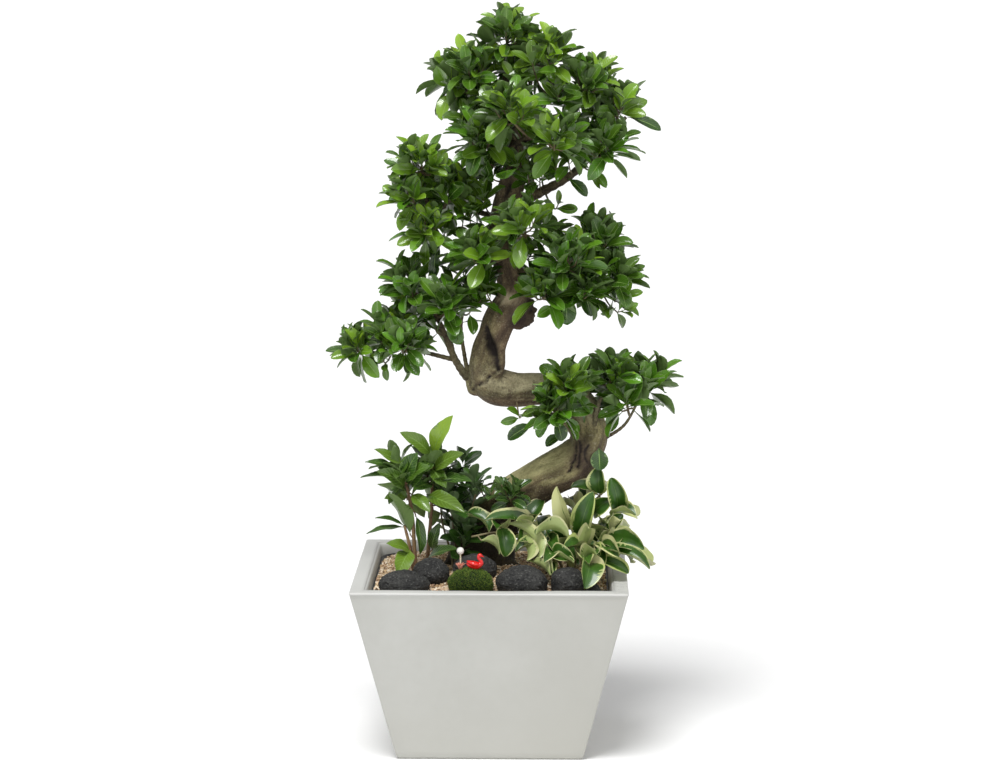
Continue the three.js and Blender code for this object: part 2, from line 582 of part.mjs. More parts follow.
// Where a spray's shoots point: spread evenly round it, outwards and up
function shootDirections(count, outwards, seed) {
  const phase = 6 * draws(seed)();
  return Array.from({ length: count }, (_, i) => {
    const height = 0.95 - (1.5 * (i + 0.5)) / count;
    const turn = phase + i * GOLDEN_ANGLE;
    const flat = Math.sqrt(1 - height * height);
    const way = vec([flat * Math.cos(turn), flat * Math.sin(turn), height + 0.35]);
    return way.addScaledVector(outwards, 0.45).normalize();
  });
}

// A spray's twigs in one skin: a leader from the nearest wood, which ends as its first
// shoot, and the other shoots, which grow out of the leader's sides
function sprayTwigs([name, { at, reach, shoots: count }], index) {
  const middle = vec(at);
  const aim = middle.clone().setZ(middle.z - 0.6 * reach);
  const free = woodPoints.filter((p) => startPoints.every((used) => used.distanceTo(p) > START_SPACING));
  const start = free.reduce((a, b) => (b.distanceTo(aim) < a.distanceTo(aim) ? b : a));
  startPoints.push(start);
  const outwards = middle.clone().sub(start).setZ(0).normalize();
  const heart = middle.clone().lerp(start, 0.1).add(vec([0, 0, -0.22 * reach]));
  const bend = start.clone().lerp(heart, 0.6).setZ(lerp(start.z, heart.z, 0.6) - 4);
  const shoots = shootDirections(count, outwards, 100 + 13 * index).map((way, s) => {
    const foot = heart.clone().lerp(bend, 0.35 * s);
    return { foot, way, tip: foot.clone().addScaledVector(way, 0.5 * reach), owner: name + s };
  });
  const path = [start, bend, heart, shoots[0].tip].map((p) => p.toArray());
  const skin = skinOf(stemRings(path, [3, 2.9, 2.6, 1.9], { sides: 3, stations: 5 }));
  claim(solidOf(skin), shoots[0].owner);
  for (const { foot, way, tip, owner } of shoots.slice(1)) {
    const base = footFor(skin, foot, way);
    const rings = stemRings([foot.toArray(), tip.toArray()], [2.4, 1.9], { sides: 3, stations: 3 });
    const shoot = [base, ...matched(base, rings.slice(1))];
    claim(loft(shoot), owner);
    skin.delete(base);
    extend(skin, shoot);
  }
  return { name, skin, shoots };
}

// Bird figure: a body drawn out to a tail, a curved neck with a head, a bill and a peg

function bird(grow = 0) {
  const [x, y, z] = BIRD.at;
  const part = (points, radii, sides, stations) =>
    stem(points.map(([dx, dz]) => [x + dx, y, z + dz]), radii, { sides, stations, grow });
  return union([
    part([[-15, 3], [-9, 1], [0, 0], [8, 0.5]], [1.2, 5, 6.5, 4.5], 8, 5),
    part([[6, 0], [10, 4], [8, 10], [3, 15], [5, 18.5], [9, 17.5]], [4, 3.4, 2.7, 2.6, 3.1, 2.4], 6, 8),
    part([[8, 17.5], [13, 15]], [1.9, 0.7], 4, 1),
    part([[0, -14], [0, 0]], [1.5, 1.5], 4, 1),
  ]);
}

// Bead on a stick, which rises through a small cup-shaped flower

function stick(grow = 0) {
  const { x, y, foot, z, stick: radius } = BEAD;
  return stem([[x, y, foot], [x, y, z - 2]], [radius, radius], { sides: 6, stations: 1, grow });
}
function bead() {
  const ball = new THREE.SphereGeometry(BEAD.radius, 10, 6);
  return solid(ball.rotateX(Math.PI / 2).translate(BEAD.x, BEAD.y, BEAD.z)).subtract(stick(FIT));
}
function flower(grow = 0) {
  const { z, petals, height, radius } = FLOWER;
  const ring = (reach, level, wave) =>
    Array.from({ length: 2 * petals }, (_, k) => {
      const swing = k % 2 ? -wave : wave;
      const [turn, out] = [(Math.PI * k) / petals, reach * (1 + 0.12 * swing)];
      return vec([BEAD.x + out * Math.cos(turn), BEAD.y + out * Math.sin(turn), z + level + 2 * swing]);
    });
  const outer = [ring(2.4 + grow, -grow, 0), ring(5 + grow, 4 - grow, 0), ring(radius + grow, height, 1)];
  return loft([...outer, ring(radius - 1.6, height, 1), ring(3, 5, 0)]);
}

// Under-planting: a root crown in the soil and the stems that rise from it

function rootCrown([x, y], grow) {
  return stem([[x, y, 238], [x, y, 270]], [8, 15], { sides: 6, stations: 1, grow });
}
function plantStems({ stems, radii, sides, crown }, grow = 0) {
  const rings = (points) =>
    stemRings(points, evenly(points, radii), { sides, stations: 2 * points.length - 2, grow });
  return { skins: stems.map((points) => skinOf(rings(points))), crown: rootCrown(crown, grow) };
}
const plantRoom = (plant) => {
  const { skins, crown } = plantStems(plant, FIT);
  return union([crown, ...skins.map(solidOf)]);
};

// A plant whose leaves are placed one by one along its stems
function leafyPlant(name, plant, form) {
  const { skins, crown } = plantStems(plant);
  for (const leaf of plant.leaves) {
    const base = vec(leaf.from);
    const gap = (skin) => Math.min(...[...skin].map(([corner]) => corner.distanceTo(base)));
    const nearest = skins.reduce((a, b) => (gap(b) < gap(a) ? b : a));
    growLeaf(nearest, name, placedLeaf(leaf), { ...form, width: leaf.width });
  }
  return union([crown, ...skins.map(solidOf)]);
}
// A plant whose stems each end in a shoot
function shootPlant(name, plant, count, length, form) {
  const { skins, crown } = plantStems(plant);
  plant.stems.forEach((points, i) => {
    const [below, tip] = points.slice(-2).map(vec);
    const shoot = { foot: tip.clone().lerp(below, 0.7), tip };
    for (const leaf of shootLeaves(shoot, count, length, 1.3 * i)) growLeaf(skins[i], name, leaf, form);
  });
  return union([crown, ...skins.map(solidOf)]);
}

// Pieces in the order in which they take their places

const woodRoom = wood(FIT);
const plants = { broadleaf_plant: BROADLEAF, dark_shrub: SHRUB, wax_plant: WAX };
const stones = Object.entries(STONES).map(([name, stone], i) => {
  return { name, stone: { ...stone, seed: 11 + 7 * i } };
});
const planterSolid = planter();
const linerSolid = liner();
const gravelBlock = gravel();
const birdSolid = bird();
const flowerSolid = flower().subtract(stick(FIT));
const mossSolid = lump(MOSS).subtract(union([bird(FIT), stick(FIT), flower(FIT)]));
const fixed = [woodRoom, planterSolid, linerSolid, gravelBlock, birdSolid, flower(), bead(), mossSolid];
for (const body of fixed) claim(body, "fixed");
for (const { stone } of stones) claim(lump(stone), "fixed");
for (const [name, plant] of Object.entries(plants)) claim(plantRoom(plant), name);

const broadleafForm = { sections: TOOTHED, thick: 1.5, arch: 0.07 };
const waxForm = { sections: ELLIPTIC, thick: 2, fold: 0.5, arch: 0.09 };
const shrubForm = { ...SHRUB_LEAF, sections: OBOVATE };
const broadleafSolid = leafyPlant("broadleaf_plant", BROADLEAF, broadleafForm);
const waxSolid = leafyPlant("wax_plant", WAX, waxForm);
const shrubSolid = shootPlant("dark_shrub", SHRUB, 5, SHRUB_LEAF.length, shrubForm);

const sprays = Object.entries(SPRAYS).map(sprayTwigs);
for (const [i, { skin, shoots }] of sprays.entries())
  for (const [s, shoot] of shoots.entries())
    for (const leaf of shootLeaves(shoot, LEAVES_A_SHOOT, LEAF.length, i + 2.1 * s))
      growLeaf(skin, shoot.owner, leaf, { ...LEAF, sections: OBOVATE });

// Group

const bonsai = new THREE.Group();
function add(name, manifold, { color, roughness }) {
  const material = new THREE.MeshStandardMaterial({ color, roughness, metalness: 0 });
  const mesh = new THREE.Mesh(geometryOf(manifold), material);
  mesh.name = name;
  bonsai.add(mesh);
}
const ground = union([
  woodRoom,
  lump(MOSS, FIT),
  ...stones.map(({ stone }) => lump(stone, FIT)),
  ...Object.values(plants).map(plantRoom),
]);
add("planter", planterSolid, LOOKS.planter);
add("liner", linerSolid, LOOKS.liner);
add("soil", largest(soil().subtract(ground)), LOOKS.soil);
add("gravel", largest(gravelBlock.subtract(ground)), LOOKS.gravel);
add("trunk", wood(), LOOKS.bark);
for (const { name, skin } of sprays)
  add(name, largest(solidOf(skin).subtract(woodRoom)), LOOKS.banyanLeaf);
add("broadleaf_plant", broadleafSolid, LOOKS.broadLeaf);
add("dark_shrub", shrubSolid, LOOKS.shrubLeaf);
add("wax_plant", waxSolid, LOOKS.waxLeaf);
for (const { name, stone } of stones) add(name, lump(stone), LOOKS.lava);
add("moss_ball", mossSolid, LOOKS.moss);
add("bird_figure", birdSolid, LOOKS.bird);
add("bead", bead(), LOOKS.bead);
add("bead_stick", stick(), LOOKS.stick);
add("stick_flower", flowerSolid, LOOKS.flower);

export default bonsai;
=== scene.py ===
"""Chinese banyan bonsai in a square tapered planter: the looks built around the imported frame.

Lists of places are in millimetres, as the part's own lists are, and MM turns them into metres.
"""

import math

import bpy
import numpy as np
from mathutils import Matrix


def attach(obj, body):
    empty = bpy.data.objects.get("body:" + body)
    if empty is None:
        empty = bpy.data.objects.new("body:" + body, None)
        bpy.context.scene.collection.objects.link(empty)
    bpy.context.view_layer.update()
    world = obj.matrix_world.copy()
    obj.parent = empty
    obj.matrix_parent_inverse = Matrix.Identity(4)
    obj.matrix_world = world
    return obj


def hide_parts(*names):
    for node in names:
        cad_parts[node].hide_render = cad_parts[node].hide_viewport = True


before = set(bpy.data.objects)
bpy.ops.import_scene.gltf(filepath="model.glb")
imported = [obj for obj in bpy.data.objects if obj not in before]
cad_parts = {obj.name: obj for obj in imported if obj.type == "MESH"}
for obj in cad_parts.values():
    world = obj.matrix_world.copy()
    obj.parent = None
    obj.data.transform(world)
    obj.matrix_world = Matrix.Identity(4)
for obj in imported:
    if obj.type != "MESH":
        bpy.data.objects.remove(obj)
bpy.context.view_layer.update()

MM = 0.001
GOLDEN_ANGLE = 2.399963
FRONT_FACE = (0, -0.75, 0.65)
UP_FACE = (0, 0.1, 1)
BACK_FACE = (0.1, 0.75, 0.55)
UP = np.array([0.0, 0.0, 1.0])
TO_LIGHT = np.array([-0.1, -0.4, 0.9])

# Camera at the photograph's angle

camera = bpy.data.objects.new("camera", bpy.data.cameras.new("camera"))
camera.data.lens = 108.32
camera.data.sensor_width = 36
camera.data.clip_end = 400
camera.location = (0.1135, -4.983, 1.3177)
camera.rotation_euler = (math.pi / 2 - 0.141, 0, 0.020)
bpy.context.scene.collection.objects.link(camera)
bpy.context.scene.camera = camera

# The planter and what fills it: half widths, heights and walls

PLANTER = {"height": 295, "top": 226.5, "foot": 153.5, "wall": 25.5, "floor": 26}
DRAINS = [(-55, -55), (55, -55), (55, 55), (-55, 55)]
DRAIN_RADIUS = 8
LINER = {
    "foot": 26.3, "rim": 277, "wall": 2.5, "base": 3, "gap": 3, "corner": 34, "lip": 2, "slack": 1.3,
}
GROUND = {"edge": 271, "heaped": 276, "crown": 299, "bed": 258, "x": -10, "y": 18, "corner": 31}
# A hollow in the gravel at the rear left corner, and where the liner's rim lies bare there
HOLLOW = {"x": -185, "y": 185, "depth": 6.0, "reach": 34}
BARE_RIM = {"x": -120, "y": 120, "sunk": 9}
# Gravel chips: spacing, the share of it between rows, room round the trunk and round the stones,
# and the least half size and how much is added at most
CHIP = {"step": 4.3, "rows": 0.866, "trunk": 38, "stone": 0.8, "half": 1.5, "spread": 1.0}

# The trunk's axis from its buried foot to the leader's tip: x, y, z, radius
TRUNK = [
    (-22, 22, 236, 30), (-19, 20, 298, 50), (-8, 12, 352, 45), (31, -6, 408, 36.5),
    (82, -26, 446, 32.5), (133, -36, 474, 35), (163, -30, 516, 30), (150, -15, 556, 31),
    (124, -4, 582, 29), (88, 5, 595, 27.5), (40, 5, 593, 28), (2, 5, 599, 30),
    (-13, 2, 625, 25), (-4, -3, 668, 21.5), (12, -10, 712, 26), (36, -9, 755, 29),
    (30, -1, 800, 25), (16, 10, 845, 23.5), (20, 15, 885, 23.5), (32, 9, 940, 21),
    (37, 5, 985, 16), (32, 5, 1030, 12.5), (26, 3, 1075, 9), (24, 0, 1120, 6), (25, 0, 1158, 4),
]
# Strands that stand out of the trunk: fused roots, burls and cut stubs
STRANDS = [
    ([9, 14, 13, 8], [(-22, -8, 598), (-21, -12, 638), (-12, -16, 680), (4, -22, 722)]),
    ([9, 12, 12, 13, 9], [(6, -8, 610), (9, -13, 636), (11, -17, 668), (24, -21, 706), (36, -21, 742)]),
    ([7, 13, 13, 7], [(160, -52, 476), (166, -50, 500), (164, -44, 528), (152, -34, 552)]),
    ([6, 12, 11, 6], [(142, -60, 470), (146, -58, 494), (142, -46, 522), (136, -34, 546)]),
    ([7, 13, 13, 8], [(38, -10, 702), (51, -14, 714), (60, -16, 728), (61, -16, 748)]),
    ([8, 13, 8, 3], [(-16, 6, 590), (-30, 6, 596), (-38, 5, 604), (-42, 5, 612)]),
    ([8, 12, 11, 5], [(28, -8, 900), (40, -10, 930), (46, -6, 962), (44, 0, 992)]),
    ([5, 9, 8, 4], [(8, -6, 880), (14, -10, 916), (24, -12, 950), (32, -8, 990)]),
    ([5, 8, 7, 4], [(26, -14, 878), (30, -16, 905), (38, -16, 930), (52, -8, 952)]),
]
# Surface roots: direction round the trunk's foot in degrees, and reach
ROOTS = [(-152, 84), (-92, 76), (-25, 88), (95, 82)]
# Voxels for the skins of the wood and of the bird, in metres
WOOD_VOXEL = 0.0023
BIRD_VOXEL = 0.0006
# Heights in metres of the bark's grain, lumps and folds, and of the knob's roughness
RELIEF = {"grain": 0.0032, "lumps": 0.0060, "folds": 0.0006, "knob": 0.0110}
# Pale scars of cut branches: place and half sizes
SCARS = [((26, -34, 752), (18, 30, 10)), ((14, -34, 764), (10, 30, 7))]
# Dark rough patches, and red-brown ones: place and half sizes
STAINS = [
    ((61, -14, 722), (20, 32, 26)), ((2, -30, 668), (9, 14, 22)), ((152, -60, 492), (20, 30, 34)),
    ((38, -30, 718), (17, 24, 20)),
]
RUDDY = [((30, -20, 690), (24, 34, 66)), ((30, -20, 572), (70, 40, 12)), ((40, -10, 800), (30, 40, 60))]
# Grooves cut into the bark's front: half width, depth, and the points they pass, as x and z
GROOVES = [
    (4.5, 8, [(-11, 704), (-7, 682), (0, 664), (7, 647), (16, 629)]),
    (7.0, 7, [(-7, 686), (-1, 670), (4, 656)]),
    (2.4, 2.4, [(21, 631), (-1, 620), (-19, 606), (-36, 594)]),
    (2.4, 1.2, [(-12, 592), (14, 581), (64, 578)]),
    (1.6, 4, [(139, 519), (138, 500), (133, 480), (127, 462)]),
    (1.8, 5, [(150, 521), (151, 504), (147, 488), (149, 474)]),
    (1.5, 3, [(160, 515), (158, 498), (163, 480)]),
]
# Where the bark is folded across: place and size
WRINKLES = [((6, -10, 606), 20), ((136, -30, 500), 26)]
# Main branches: first and last radius, and the points they pass
BRANCHES = [
    ([10, 3], [(34, 8, 905), (80, 4, 925), (136, 0, 958), (186, -6, 1012), (222, 2, 1050)]),
    ([8, 3], [(36, 5, 985), (4, 2, 1020), (-32, 4, 1056), (-60, 6, 1084)]),
    ([7, 3], [(34, 5, 1000), (46, -40, 1010), (64, -72, 1020), (92, -84, 1022)]),
    ([7, 3], [(33, 5, 1020), (44, 48, 1030), (62, 84, 1036), (110, 100, 1048)]),
    ([6, 3], [(30, 4, 1050), (70, -8, 1080), (120, -22, 1096)]),
    ([7, 3], [(16, 12, 838), (-40, 15, 836), (-84, 8, 848), (-104, -2, 892), (-110, -8, 950)]),
    ([6, 3], [(20, 15, 880), (-16, 30, 888), (-48, 56, 890)]),
    ([8, 3], [(34, -9, 752), (80, -28, 764), (130, -24, 776), (180, -16, 798)]),
    ([6, 3], [(28, 2, 800), (70, 40, 788), (118, 58, 784)]),
    ([6, 3], [(22, 5, 822), (40, -38, 826), (60, -62, 838)]),
    ([9, 3], [(-8, 5, 596), (-38, 4, 612), (-62, -4, 648), (-84, -12, 704), (-104, -14, 742)]),
    ([4.2, 2.2], [(-60, -4, 645), (-103, -12, 657), (-146, -14, 668), (-196, -12, 682)]),
    ([4.5, 2.6], [(-64, -5, 652), (-72, 24, 676), (-98, 48, 694)]),
    ([4, 1.8], [(160, -38, 506), (190, -38, 520), (222, -30, 541), (246, -16, 580)]),
    ([6, 2.8], [(158, -38, 512), (170, -52, 540), (178, -42, 578), (190, -32, 596)]),
    ([5, 2.8], [(140, -12, 566), (160, 20, 566), (186, 44, 568)]),
    ([5, 2.8], [(120, -10, 584), (122, -42, 588), (123, -58, 596)]),
    ([4, 2.4], [(-38, 4, 612), (-45, -2, 650), (-51, -6, 700), (-44, -16, 748)]),
]
# Leafy sprays: the middle of each, its reach, and how many shoots it has
SPRAYS = {
    "crown_top": ((25, 0, 1186), 46, 7),
    "crown_top_right": ((90, -30, 1160), 48, 7),
    "crown_upper_left": ((-24, -25, 1136), 45, 7),
    "crown_far_left": ((-58, 14, 1118), 42, 7),
    "crown_front": ((30, -100, 1074), 52, 7),
    "crown_right": ((162, -35, 1106), 50, 7),
    "crown_far_right": ((206, 5, 1072), 44, 7),
    "crown_low_right": ((188, -52, 1004), 46, 7),
    "crown_low_front": ((107, -104, 1016), 50, 7),
    "crown_low_left": ((-20, -52, 1014), 48, 7),
    "crown_back_top": ((58, 82, 1142), 50, 7),
    "crown_back_right": ((164, 100, 1064), 52, 7),
    "crown_back_left": ((-22, 92, 1070), 50, 7),
    "crown_back": ((66, 128, 1000), 48, 7),
    "upper_left_tip": ((-116, -15, 978), 42, 7),
    "upper_left_out": ((-131, -20, 924), 42, 6),
    "upper_left_in": ((-60, -4, 930), 42, 7),
    "upper_left_low": ((-108, -28, 868), 40, 6),
    "upper_left_back": ((-84, 78, 912), 46, 7),
    "mid_right_top": ((56, -84, 884), 46, 7),
    "mid_right_tip": ((180, -8, 852), 44, 7),
    "mid_right_front": ((126, -84, 830), 48, 7),
    "mid_right_low": ((88, -76, 766), 40, 6),
    "mid_right_under": ((150, -56, 764), 38, 6),
    "mid_right_out": ((206, -34, 786), 42, 7),
    "mid_right_back": ((150, 76, 806), 50, 7),
    "mid_left_front": ((-28, -58, 828), 38, 7),
    "low_left_top": ((-134, -16, 776), 44, 7),
    "low_left_in": ((-72, -52, 748), 44, 7),
    "low_left_out": ((-170, -18, 696), 42, 6),
    "low_left_tip": ((-220, -10, 662), 35, 6),
    "low_left_front": ((-142, -62, 680), 42, 7),
    "low_left_back": ((-122, 66, 724), 48, 7),
    "low_right_in": ((129, -74, 611), 36, 6),
    "low_right_front": ((104, -84, 570), 34, 5),
    "low_right_top": ((198, -30, 622), 42, 7),
    "low_right_tip": ((258, 0, 614), 42, 6),
    "low_right_low": ((226, -44, 582), 30, 4),
    "low_right_back": ((204, 62, 594), 42, 7),
    "low_sprig": ((32, -76, 431), 26, 3),
}
# Leafy shoots that leave the wood by themselves: tip, number of leaves and leaf length
INNER_SHOOTS = [
    ((-2, -25, 952), 7, 46), ((-12, -22, 912), 7, 46), ((-24, -25, 884), 6, 42), ((82, 42, 960), 8, 48),
    ((60, 34, 975), 7, 46), ((128, -30, 974), 7, 46), ((164, -34, 968), 7, 44), ((106, -28, 900), 6, 38),
    ((-94, -20, 812), 6, 40), ((-100, 12, 838), 6, 44), ((-78, -8, 852), 6, 42), ((-14, -34, 786), 7, 46),
    ((-36, -30, 754), 7, 46), ((-6, -40, 814), 7, 44), ((-46, -18, 782), 7, 46), ((-50, -8, 712), 5, 36),
    ((-146, -20, 664), 6, 38), ((-92, -14, 694), 6, 40), ((206, -40, 748), 7, 46),
    ((174, -40, 750), 6, 44), ((48, -60, 556), 5, 40), ((104, -74, 552), 5, 38), ((2, -66, 424), 5, 24),
    ((22, -72, 438), 4, 22), ((-12, -52, 424), 5, 24), ((40, -50, 1100), 8, 48), ((0, -40, 1080), 8, 46),
    ((110, -60, 1080), 8, 46), ((70, -60, 1130), 8, 46), ((-40, -20, 1090), 7, 46),
    ((30, 40, 850), 7, 46), ((96, -30, 850), 8, 46), ((69, -10, 950), 7, 44), ((-35, -20, 881), 7, 44),
    ((59, -60, 822), 7, 48), ((104, -60, 744), 6, 44), ((208, -50, 732), 5, 38),
    ((-176, -40, 644), 6, 30), ((-193, -30, 650), 5, 32), ((-166, -50, 662), 6, 34),
    ((9, -20, 972), 6, 42), ((-15, -30, 768), 7, 46), ((107, -30, 962), 6, 44), ((-19, -34, 746), 6, 44),
    ((-35, -30, 729), 6, 42), ((-5, -40, 756), 6, 42), ((62, -30, 946), 7, 44), ((80, -22, 944), 7, 44),
    ((-47, -20, 878), 6, 42), ((61, -60, 819), 6, 44), ((30, -44, 1034), 8, 50), ((16, -50, 1000), 8, 50),
    ((52, -44, 1004), 8, 50), ((2, -40, 1044), 7, 48), ((44, -50, 968), 7, 46), ((-4, -40, 976), 7, 46),
    ((58, -40, 1050), 7, 48), ((-36, -40, 1046), 7, 46),
]
# Single large leaves that stand out: foot, tip, upper side if not the front, width
LONE_LEAVES = [
    ((124, -12, 951), (158, -16, 920), 22), ((122, -24, 763), (126, -34, 708), 34),
    ((178, -58, 510), (181, -72, 470), 31), ((74, -60, 548), (28, -62, 520), 24),
    ((108, -70, 556), (118, -74, 520), 26), ((-92, -20, 836), (-96, -26, 784), 20),
    ((224, 2, 1050), (280, 2, 1028), 22), ((24, 0, 1166), (52, -4, 1222), 18),
    ((150, -24, 776), (166, -30, 722), 26), ((182, -16, 796), (214, -30, 748), 24),
    ((121, -70, 530), (91, -74, 511), 22),
]
LEAVES_A_SHOOT = 8
# First and last radius of a spray's leader, of its shoots, and of a shoot by itself and its tip
LEADER = (2.7, 1.7)
SHOOT = (1.7, 1.0)
INNER_STEM = (2.0, 1.0)
INNER_TIP = (1.2, 0.9)
# A banyan leaf's length and width in metres
BANYAN_LENGTH = 0.057
BANYAN_WIDTH = 0.0255
# Sprays whose leaves are small or dark: factors on the leaf's size and on its tone
LEAF_SCALE = {
    "low_sprig": 0.64, "low_left_front": 0.84, "low_left_tip": 0.88, "low_left_out": 0.90,
    "upper_left_tip": 0.94, "upper_left_out": 0.92, "upper_left_low": 0.92,
}
LEAF_TONE = {"low_sprig": 0.15}
START_SPACING = 9 * MM

# Low plants: the points their stems pass, then leaves as foot, tip, upper side if not the front, width
BROADLEAF_STEMS = [
    [(-124, -50, 252), (-127, -58, 320), (-131, -60, 390), (-140, -55, 440), (-147, -50, 474)],
    [(-114, -28, 252), (-106, -24, 330), (-100, -27, 410), (-99, -26, 488)],
    [(-124, -46, 252), (-134, -58, 330), (-144, -60, 374)],
]
BROADLEAF_LEAVES = [
    ((-99, -25, 488), (-63, -45, 558), 34), ((-101, -25, 486), (-152, -45, 529), 28),
    ((-145, -50, 475), (-193, -70, 505), 21), ((-160, -50, 470), (-209, -70, 483), 15),
    ((-152, -50, 451), (-216, -80, 459), (0, -0.4, 0.9), 22), ((-143, -55, 432), (-188, -100, 473), 31),
    ((-141, -55, 454), (-121, -70, 499), 31), ((-98, -30, 461), (-45, -60, 497), 28),
    ((-98, -30, 446), (-31, -80, 453), (0, -0.5, 0.9), 24), ((-112, -50, 422), (-42, -110, 406), 32),
    ((-133, -58, 356), (-168, -96, 436), (0.3, 0.5, 0.6), 36),
    ((-144, -60, 372), (-206, -90, 366), (0, -0.5, 0.9), 17),
    ((-144, -60, 374), (-192, -80, 391), (0, -0.5, 0.9), 16), ((-134, -62, 335), (-153, -120, 300), 32),
    ((-134, -62, 330), (-172, -100, 352), 23), ((-108, -34, 312), (-54, -90, 341), 25),
    ((-126, -54, 392), (-118, -66, 326), (0.5, -0.8, 0.1), 22), ((-133, -60, 428), (-100, -90, 403), 25),
    ((-101, -28, 467), (-74, -70, 440), 26), ((-99, -40, 329), (-85, -60, 380), 22),
    ((-138, -52, 433), (-109, -75, 471), 28), ((-100, -28, 477), (-120, -62, 460), 25),
    ((-140, -56, 420), (-176, -84, 424), 24), ((-100, -28, 440), (-128, -86, 440), 28),
    ((-100, -27, 420), (-80, -84, 420), 28), ((-99, -26, 470), (-110, 30, 476), UP_FACE, 26),
    ((-100, -27, 430), (-70, 30, 446), UP_FACE, 28), ((-138, -56, 430), (-150, 6, 440), UP_FACE, 28),
]
# How young the first leaves of that list are, and the places of two more fresh ones
BROADLEAF_YOUTH = (0.9, 0.3, 0.35)
BROADLEAF_FRESH = (13, 14)
# Tufts of small leaves: the stem's number, how far up it, and how far it leans
BROADLEAF_TUFTS = [
    (0, 0.88, 1.8), (0, 0.76, 1.6), (1, 0.86, 1.8), (1, 0.76, 1.6), (1, 0.62, 1.6), (0, 0.62, 1.8),
]
SHRUB_STEMS = [
    [(-62, -48, 252), (-58, -42, 312), (-64, -30, 368), (-68, -34, 408)],
    [(-58, -44, 252), (-50, -38, 316), (-38, -32, 376), (-26, -44, 424)],
    [(-66, -42, 252), (-66, -32, 312), (-84, -4, 374), (-86, 6, 440)],
    [(-62, -40, 252), (-60, -28, 320), (-52, 4, 392), (-50, 20, 448)],
]
SHRUB_TUFTS = [
    (0, 1.0, 0.3), (0, 0.8, 1.2), (0, 0.6, 1.4), (1, 1.0, 0.3), (1, 0.8, 1.2), (1, 0.62, 1.4),
    (2, 1.0, 0.3), (2, 0.85, 1.2), (2, 0.7, 1.4), (3, 1.0, 0.3), (3, 0.85, 1.2), (3, 0.65, 1.4),
    (0, 0.4, 2.0), (1, 0.45, 2.0), (2, 0.55, 2.0), (3, 0.5, 2.0),
]
WAX_STEMS = [
    [(118, -46, 252), (116, -48, 310), (88, -56, 344), (48, -66, 362), (6, -76, 366), (-32, -82, 360)],
    [(122, -50, 252), (116, -66, 312), (92, -92, 326), (70, -112, 330)],
    [(124, -46, 252), (130, -50, 320), (142, -50, 356), (154, -42, 396), (186, -34, 426)],
    [(128, -50, 252), (146, -58, 316), (186, -66, 366), (210, -60, 402)],
    [(126, -54, 252), (150, -76, 316), (186, -94, 336), (214, -98, 334)],
    [(122, -56, 252), (142, -96, 310), (166, -136, 324)],
]
WAX_LEAVES = [
    ((82, -60, 363), (-4, -95, 389), (-0.1, -0.5, 0.9), 25),
    ((25, -85, 384), (79, -130, 337), BACK_FACE, 21), ((-16, -88, 356), (14, -110, 338), BACK_FACE, 18),
    ((17, -85, 376), (24, -105, 334), (0.2, -0.9, 0.3), 25),
    ((53, -60, 366), (86, -40, 411), (-0.3, -0.9, 0.2), 23),
    ((131, -100, 359), (78, -120, 371), (0, 0.5, 0.8), 25),
    ((138, -55, 365), (111, -75, 440), (-0.3, -0.9, 0.1), 23),
    ((125, -45, 360), (110, -50, 398), (0, -1, 0.1), 21),
    ((140, -40, 376), (145, -50, 429), (0.1, 0.9, 0.2), 17),
    ((148, -60, 353), (168, -80, 432), (-0.2, -0.9, 0.3), 28),
    ((175, -50, 427), (135, -60, 439), (0, -0.6, 0.8), 21),
    ((181, -46, 426), (178, -52, 471), (-0.1, -0.9, 0.3), 26),
    ((208, -46, 400), (199, -60, 453), (0.3, -0.9, 0.1), 26),
    ((171, -45, 391), (200, -70, 421), (0, -0.8, 0.5), 24),
    ((186, -70, 351), (212, -90, 389), BACK_FACE, 29),
    ((195, -54, 368), (218, -70, 395), (0.2, -0.8, 0.5), 21),
    ((208, -48, 398), (242, -20, 384), (0, -0.8, 0.5), 17),
    ((141, -100, 325), (161, -130, 382), (0.1, 0.9, 0.2), 20),
    ((95, -106, 330), (136, -140, 332), (0, -0.7, 0.7), 25),
    ((92, -112, 328), (135, -160, 334), (0, 0.6, 0.6), 13),
    ((186, -84, 345), (250, -110, 346), (0.1, -0.6, 0.8), 33),
    ((218, -92, 335), (265, -60, 309), (0.2, -0.7, 0.6), 21),
    ((184, -98, 332), (258, -140, 320), (0, -0.5, 0.9), 22),
    ((178, -106, 322), (225, -120, 308), (0.1, -0.7, 0.7), 20),
    ((158, -122, 322), (187, -150, 324), (0, -0.8, 0.5), 20),
    ((163, -132, 325), (155, -185, 297), (0.1, -0.9, 0.4), 31),
    ((70, -106, 333), (102, -150, 315), (-0.1, 0.7, 0.5), 21),
    ((171, -90, 350), (187, -125, 322), (0.4, -0.9, 0.2), 18),
    ((115, -60, 339), (95, -60, 371), (0.1, -0.9, 0.4), 25),
    ((153, -84, 340), (123, -120, 348), (0, -0.6, 0.8), 23),
    ((36, -78, 362), (60, -120, 330), BACK_FACE, 27),
    ((181, -86, 340), (210, -130, 337), (0.1, -0.7, 0.7), 25),
    ((90, -66, 350), (108, -110, 339), (0.2, -0.8, 0.5), 21),
    ((65, -66, 362), (47, -95, 356), (-0.2, -0.8, 0.5), 21),
    ((105, -96, 326), (90, -150, 332), (-0.1, -0.8, 0.6), 20),
    ((201, -74, 340), (232, -60, 314), (0.2, -0.6, 0.8), 23),
    ((190, -60, 372), (222, -8, 352), (0.2, 0.3, 0.9), 28),
    ((124, -46, 312), (92, 20, 340), (-0.3, 0.3, 0.9), 30),
    ((140, -48, 350), (150, 20, 372), (0.1, 0.4, 0.9), 28),
    ((160, -40, 400), (176, 20, 420), (0.1, 0.4, 0.9), 28),
    ((66, -112, 326), (98, -152, 312), BACK_FACE, 17),
    ((92, -60, 346), (44, -96, 338), (0, -0.7, 0.7), 20),
]
